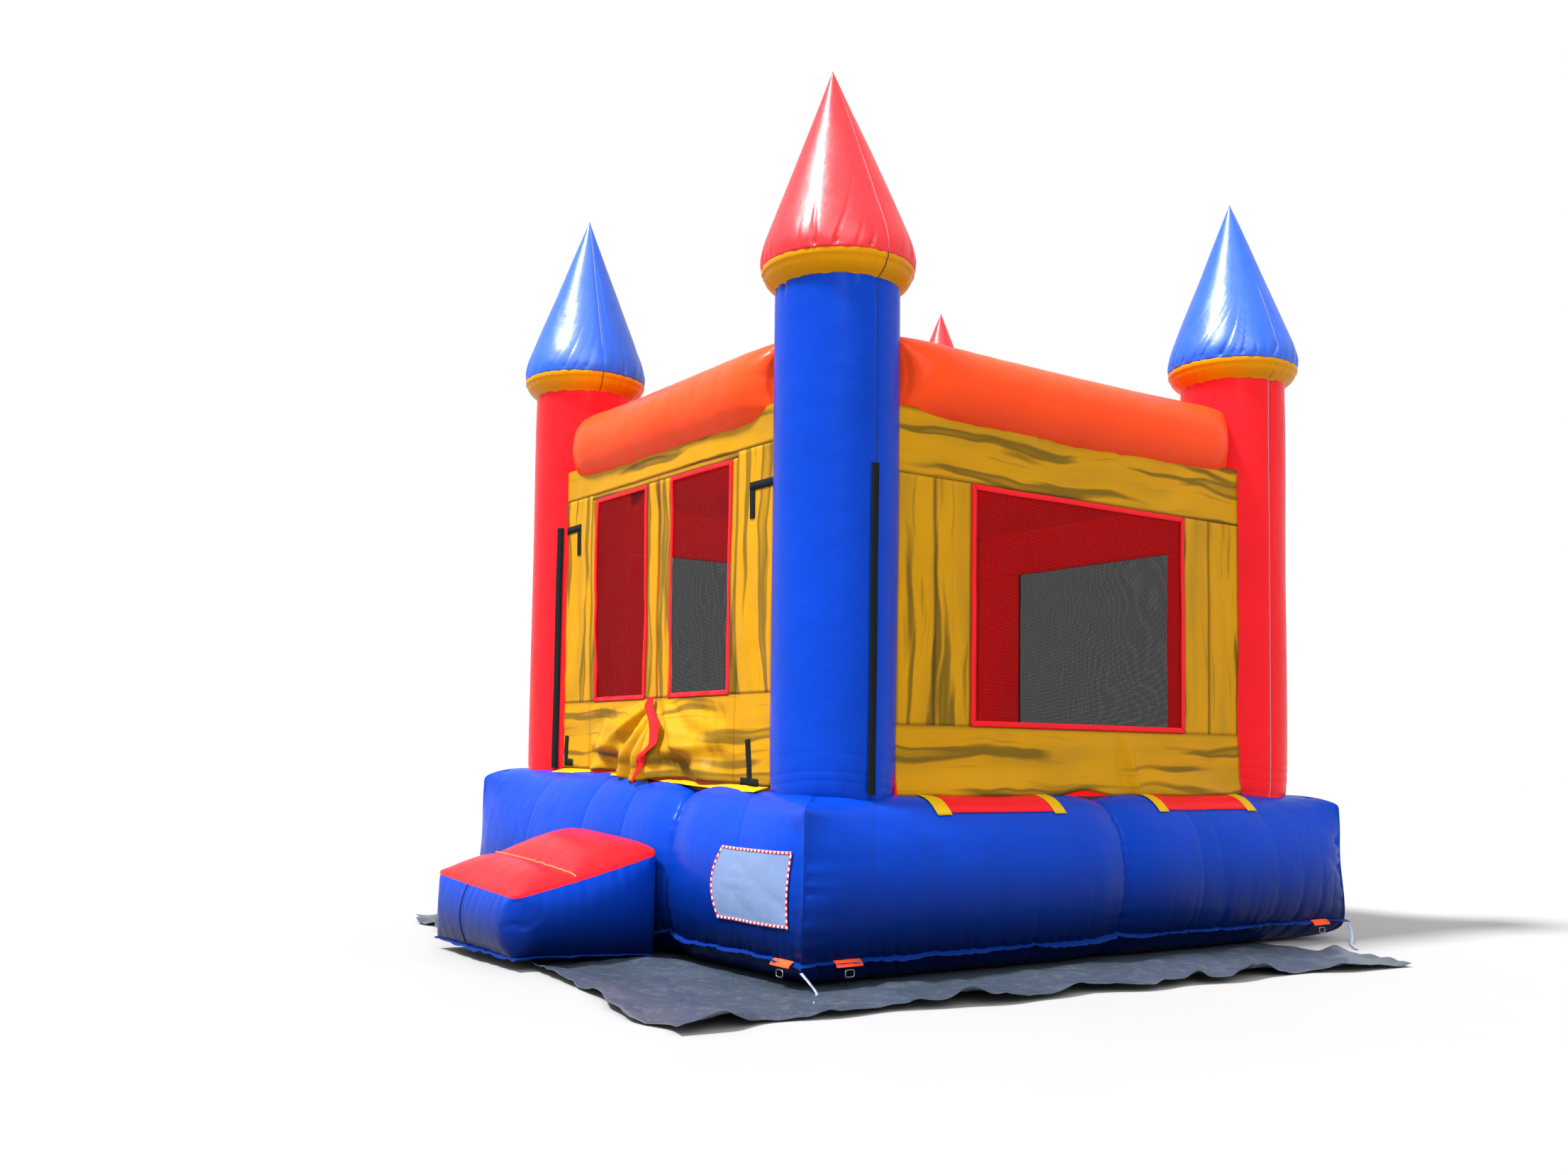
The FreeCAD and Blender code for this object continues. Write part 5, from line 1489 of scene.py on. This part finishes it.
def build_anchors():
    lo, hi = box("anchor_tabs")
    tabs, rings = [], []
    for side, a, out in anchor_places():
        # a folded piece of webbing, sewn to the seam and turned down over the ring
        t = np.linspace(0, 1, 16)
        o = 0.004 + 0.027 * np.sin(0.5 * math.pi * t)
        z = lo[2] + 0.010 + (hi[2] - lo[2] - 0.012) * (1 - t)
        n = len(t)
        path = spin(np.stack([np.full(n, a), -(out + o), z], 1), side)
        across = spin(np.tile([[1.0, 0, 0]], (n, 1)), side)
        tabs.append(band("tab", path, across, 0.148, 0.004))
        # a ring of wire, bent to a rounded rectangle
        wire, half, tall, middle = 0.003, 0.025, 0.032, lo[2] - 0.02
        q = TAU * np.arange(48) / 48
        x = a + half * rounded(np.cos(q), 0.45)
        z = middle + 0.5 * tall * rounded(np.sin(q), 0.45)
        loop = np.stack([x, np.full(48, -(out + 0.0285)), z], 1)
        rings.append(tube("ring", spin(loop, side), wire, closed=True))
    piece(join("anchor_webbing", tabs), HOUSE, M["tab"], "orange_webbing", "anchor_tabs")
    piece(join("anchor_ring_wire", rings), HOUSE, M["steel"], "steel", "anchor_rings")


def rounded(wave, power):
    """A sine or cosine pressed towards -1 and 1, which turns a circle into a rounded square."""
    return np.sign(wave) * np.abs(wave) ** power


def tube(name, path, radius, closed=False, segments=10):
    """A round wire along a path."""
    path = np.asarray(path, float)
    along = np.roll(path, -1, 0) - np.roll(path, 1, 0) if closed else np.gradient(path, axis=0)
    along /= np.linalg.norm(along, axis=1, keepdims=True)
    up = np.cross(along, np.tile([[0.21, 0.34, 0.92]], (len(path), 1)))
    up /= np.linalg.norm(up, axis=1, keepdims=True)
    side = np.cross(along, up)
    q = np.linspace(0, TAU, segments, endpoint=False)[None, :, None]
    points = path[:, None] + radius * (up[:, None] * np.cos(q) + side[:, None] * np.sin(q))
    return grid(name, points, wrap_u=closed, wrap_v=True, caps=not closed)


def route(points):
    """The middle line of a free strap: a NURBS spline through its control points."""
    curve = bpy.data.curves.new("route", "CURVE")
    curve.dimensions = "3D"
    curve.resolution_u = 16
    spline = curve.splines.new("NURBS")
    spline.points.add(len(points) - 1)
    for place, point in zip(spline.points, points):
        place.co = (*point, 1)
    spline.order_u = 3
    spline.use_endpoint_u = True
    holder = bpy.data.objects.new("route", curve)
    mesh = bpy.data.meshes.new_from_object(holder)
    line = np.array([v.co[:] for v in mesh.vertices])
    bpy.data.objects.remove(holder)
    bpy.data.meshes.remove(mesh)
    return line


# the two tie straps: from the corner's tab down to the tarp and out over it
TIES = {
    "tie_strap_front_right": [
        (1.812, -2.004, 0.092), (1.862, -1.995, 0.056), (1.920, -1.990, 0.016),
        (2.000, -2.056, 0.011), (2.085, -2.126, 0.011), (2.163, -2.190, 0.011),
    ],
    "tie_strap_back_right": [
        (1.812, 1.996, 0.092), (1.854, 1.962, 0.052), (1.900, 1.902, 0.014),
        (1.960, 1.800, 0.009), (2.040, 1.690, 0.009), (2.125, 1.600, 0.009),
    ],
}


def build_ties():
    for node, points in TIES.items():
        line = route(points)
        n = len(line)
        along = np.gradient(line, axis=0)
        flat = np.cross(along, np.tile([[0, 0, 1.0]], (n, 1)))
        flat /= np.linalg.norm(flat, axis=1, keepdims=True)
        t = np.linspace(0, 1, n)[:, None]
        twist = np.sin(t * math.pi) * 0.55
        across = flat * np.cos(twist) + np.array([[0, 0, 1.0]]) * np.sin(twist)
        obj = band(node + "_webbing", line, across, 0.0195, 0.0022)
        piece(obj, HOUSE, M["strap"], "white_webbing", node)


# ------------------------------------------------------------------ sleeve and zip at the back


def build_sleeve():
    lo, hi = box("inflation_sleeve")
    cx, cz, r = (lo[0] + hi[0]) / 2, (lo[2] + hi[2]) / 2, (hi[0] - lo[0]) / 2
    y = np.linspace(lo[1] - 0.03, hi[1], 90)[:, None]
    q = np.linspace(0, TAU, 72, endpoint=False)[None, :]
    arc = q * r
    tie = hi[1] - 0.101
    rr = r - 0.001 + 0.005 * field(arc, y, 1001, 0.12)
    rr = rr - 0.006 * gathers(arc, 1002, 0.05, 1.6) * bell(y, tie, 0.07)
    rr = rr - 0.006 * gathers(y, 1003, 0.09, 1.8) * (0.5 + 0.5 * np.cos(q + 1))
    rr = rr - 0.006 * ease(tie + 0.03, tie + 0.1, y) * gathers(arc, 1004, 0.1, 1.2)
    rr = np.minimum(rr, r + 0.002)
    outer = np.stack([cx + rr * np.cos(q), y + 0 * q, cz + rr * np.sin(q)], -1)
    obj = grid("inflation_sleeve_tube", outer, wrap_v=True)
    thicken(obj, 0.0016, -1.0)
    piece(obj, HOUSE, M["blue"], "blue_vinyl", "inflation_sleeve")
    k = np.linspace(0, TAU, 96, endpoint=False)
    ring = np.stack([cx + (r + 0.002) * np.cos(k), np.full(96, tie), cz + (r + 0.002) * np.sin(k)], 1)
    across = np.tile([[0, 1.0, 0]], (97, 1))
    strap = band("sleeve_tie", np.vstack([ring, ring[:1]]), across, 0.034, 0.003)
    corners = (-0.03, -0.022), (0.03, -0.022), (0.03, 0.022), (-0.03, 0.022)
    frame_wire = [(cx + dx, tie + dy, cz + r + 0.008) for dx, dy in corners]
    buckle = tube("buckle", frame_wire, 0.003, closed=True)
    piece(strap, HOUSE, M["strap"], "white_webbing", "sleeve_strap")
    piece(buckle, HOUSE, M["steel"], "steel")


def build_zip():
    lo, hi = box("zip_tape")
    z = (lo[2] + hi[2]) / 2
    n = 120
    x = np.linspace(lo[0], hi[0], n)
    path = np.stack([x, np.full(n, lo[1] + 0.001), np.full(n, z)], 1)
    tape = band("zip_tape_cloth", path, np.tile([[0, 0, 1.0]], (n, 1)), hi[2] - lo[2], 0.0015)
    teeth = []
    for i, at in enumerate(np.arange(lo[0] + 0.012, hi[0] - 0.012, 0.007)):
        dz = 0.0022 if i % 2 else -0.0022
        ends = [(at, lo[1] + 0.0027, z + dz - 0.0035), (at, lo[1] + 0.0032, z + dz + 0.0035)]
        teeth.append(tube("tooth", ends, 0.0024, segments=6))
    piece(tape, HOUSE, M["tape"], "black_tape", "zip_tape")
    piece(join("zip_teeth", teeth), HOUSE, M["plastic"], "plastic")
    lo, hi = box("zip_slider")
    mid, half = (lo + hi) / 2, (hi - lo) / 2
    q = np.linspace(0, TAU, 28, endpoint=False)
    rows = []
    for k, grow in ((0, 0.8), (0.25, 1.0), (0.75, 1.0), (1.0, 0.78)):
        cx = rounded(np.cos(q), 0.6) * half[0] * 0.9 * grow
        cz = rounded(np.sin(q), 0.6) * half[2] * 0.9 * grow * (0.75 + 0.25 * np.cos(q))
        y = np.full(28, lo[1] + 0.0005 + k * (hi[1] - lo[1] - 0.001))
        rows.append(np.stack([mid[0] + cx, y, mid[2] + cz], 1))
    body = grid("zip_slider_body", np.stack(rows), wrap_v=True, caps=True)
    piece(body, "zip_slider", M["steel"], "plastic", "zip_slider")
    line = [(0.004, 0.001, 0), (-0.008, 0.0015, -0.02), (-0.012, 0.001, -0.045)]
    path = np.array([(mid[0] + dx, hi[1] + dy, mid[2] + dz) for dx, dy, dz in line])
    tab = band("zip_slider_tab", path, np.tile([[1.0, 0, 0]], (3, 1)), 0.011, 0.002)
    piece(tab, "zip_slider", M["steel"], "plastic")
    lo, hi = box("zip_cover_flap")
    x, z = np.meshgrid(np.linspace(lo[0], hi[0], 120), np.linspace(lo[2], hi[2], 24), indexing="ij")
    down = (hi[2] - z) / (hi[2] - lo[2])
    y = hi[1] + 0.003 * wander(x, 1011, 0.09) * down + 0.004 * down**2 + 0.002 * field(x, z, 1012, 0.05)
    cloth = np.stack([x, z, 0 * x], -1)
    flap = thicken(patches("zip_flap_sheet", [(np.stack([x, y, z], -1), cloth)]), SHEET)
    piece(flap, "zip_cover_flap", M["blue"], "blue_vinyl", "zip_cover_flap")


# ------------------------------------------------------------------ stage


def build_stage():
    """A plain pale floor, a white studio sky, and two soft suns."""
    line = np.linspace(-60, 60, 60)
    x, y = np.meshgrid(line, line, indexing="ij")
    floor = grid("floor", np.stack([x, y, -0.0005 + 0 * x], -1))
    floor.data.materials.append(floor_material())
    world = bpy.data.worlds.new("studio")
    bpy.context.scene.world = world
    world.use_nodes = True
    back = world.node_tree.nodes["Background"]
    back.inputs["Color"].default_value = (1.0, 1.0, 1.0, 1)
    back.inputs["Strength"].default_value = 1.0
    suns = ("key", 7.5, 9, (-0.10, -0.52, 0.85)), ("fill", 2.0, 40, (0.7, -0.4, 0.6))
    for name, energy, angle, towards in suns:
        sun = bpy.data.lights.new(name, "SUN")
        sun.energy, sun.angle = energy, math.radians(angle)
        lamp = bpy.data.objects.new(name, sun)
        bpy.context.collection.objects.link(lamp)
        lamp.rotation_mode = "QUATERNION"
        lamp.rotation_quaternion = Vector(towards).to_track_quat("Z", "Y")


def build_camera():
    """The photograph's viewpoint, solved from the corners of the base and the columns."""
    place = Vector((6.96865, -5.70233, 1.02325))
    yaw, pitch, roll = math.radians(145.1966), math.radians(3.4574), math.radians(0.80488)
    ahead = Vector((math.cos(pitch) * math.cos(yaw), math.cos(pitch) * math.sin(yaw), math.sin(pitch)))
    right = Vector((math.sin(yaw), -math.cos(yaw), 0))
    up = right.cross(ahead)
    c, s = math.cos(roll), math.sin(roll)
    right, up = c * right + s * up, c * up - s * right
    data = bpy.data.cameras.new("camera")
    data.sensor_width, data.lens, data.shift_y = 36.0, 33.048, 0.054
    data.clip_start, data.clip_end = 0.1, 200
    cam = bpy.data.objects.new("camera", data)
    bpy.context.collection.objects.link(cam)
    turn = Matrix((right, up, -ahead)).transposed()
    cam.matrix_world = Matrix.Translation(place) @ turn.to_4x4()
    bpy.context.scene.camera = cam


build_base()
build_floor()
for each in CORNER:
    build_corner(each)
for each in SIDE:
    build_beam(each)
build_roof()
for each in (RIGHT, BACK, LEFT):
    build_wall(each)
for build in (
    build_front, build_banner, build_base_trim, build_step, build_tarp, build_anchors, build_ties,
    build_sleeve, build_zip, build_stage, build_camera,
):
    build()
bpy.context.scene.view_settings.view_transform = "Standard"
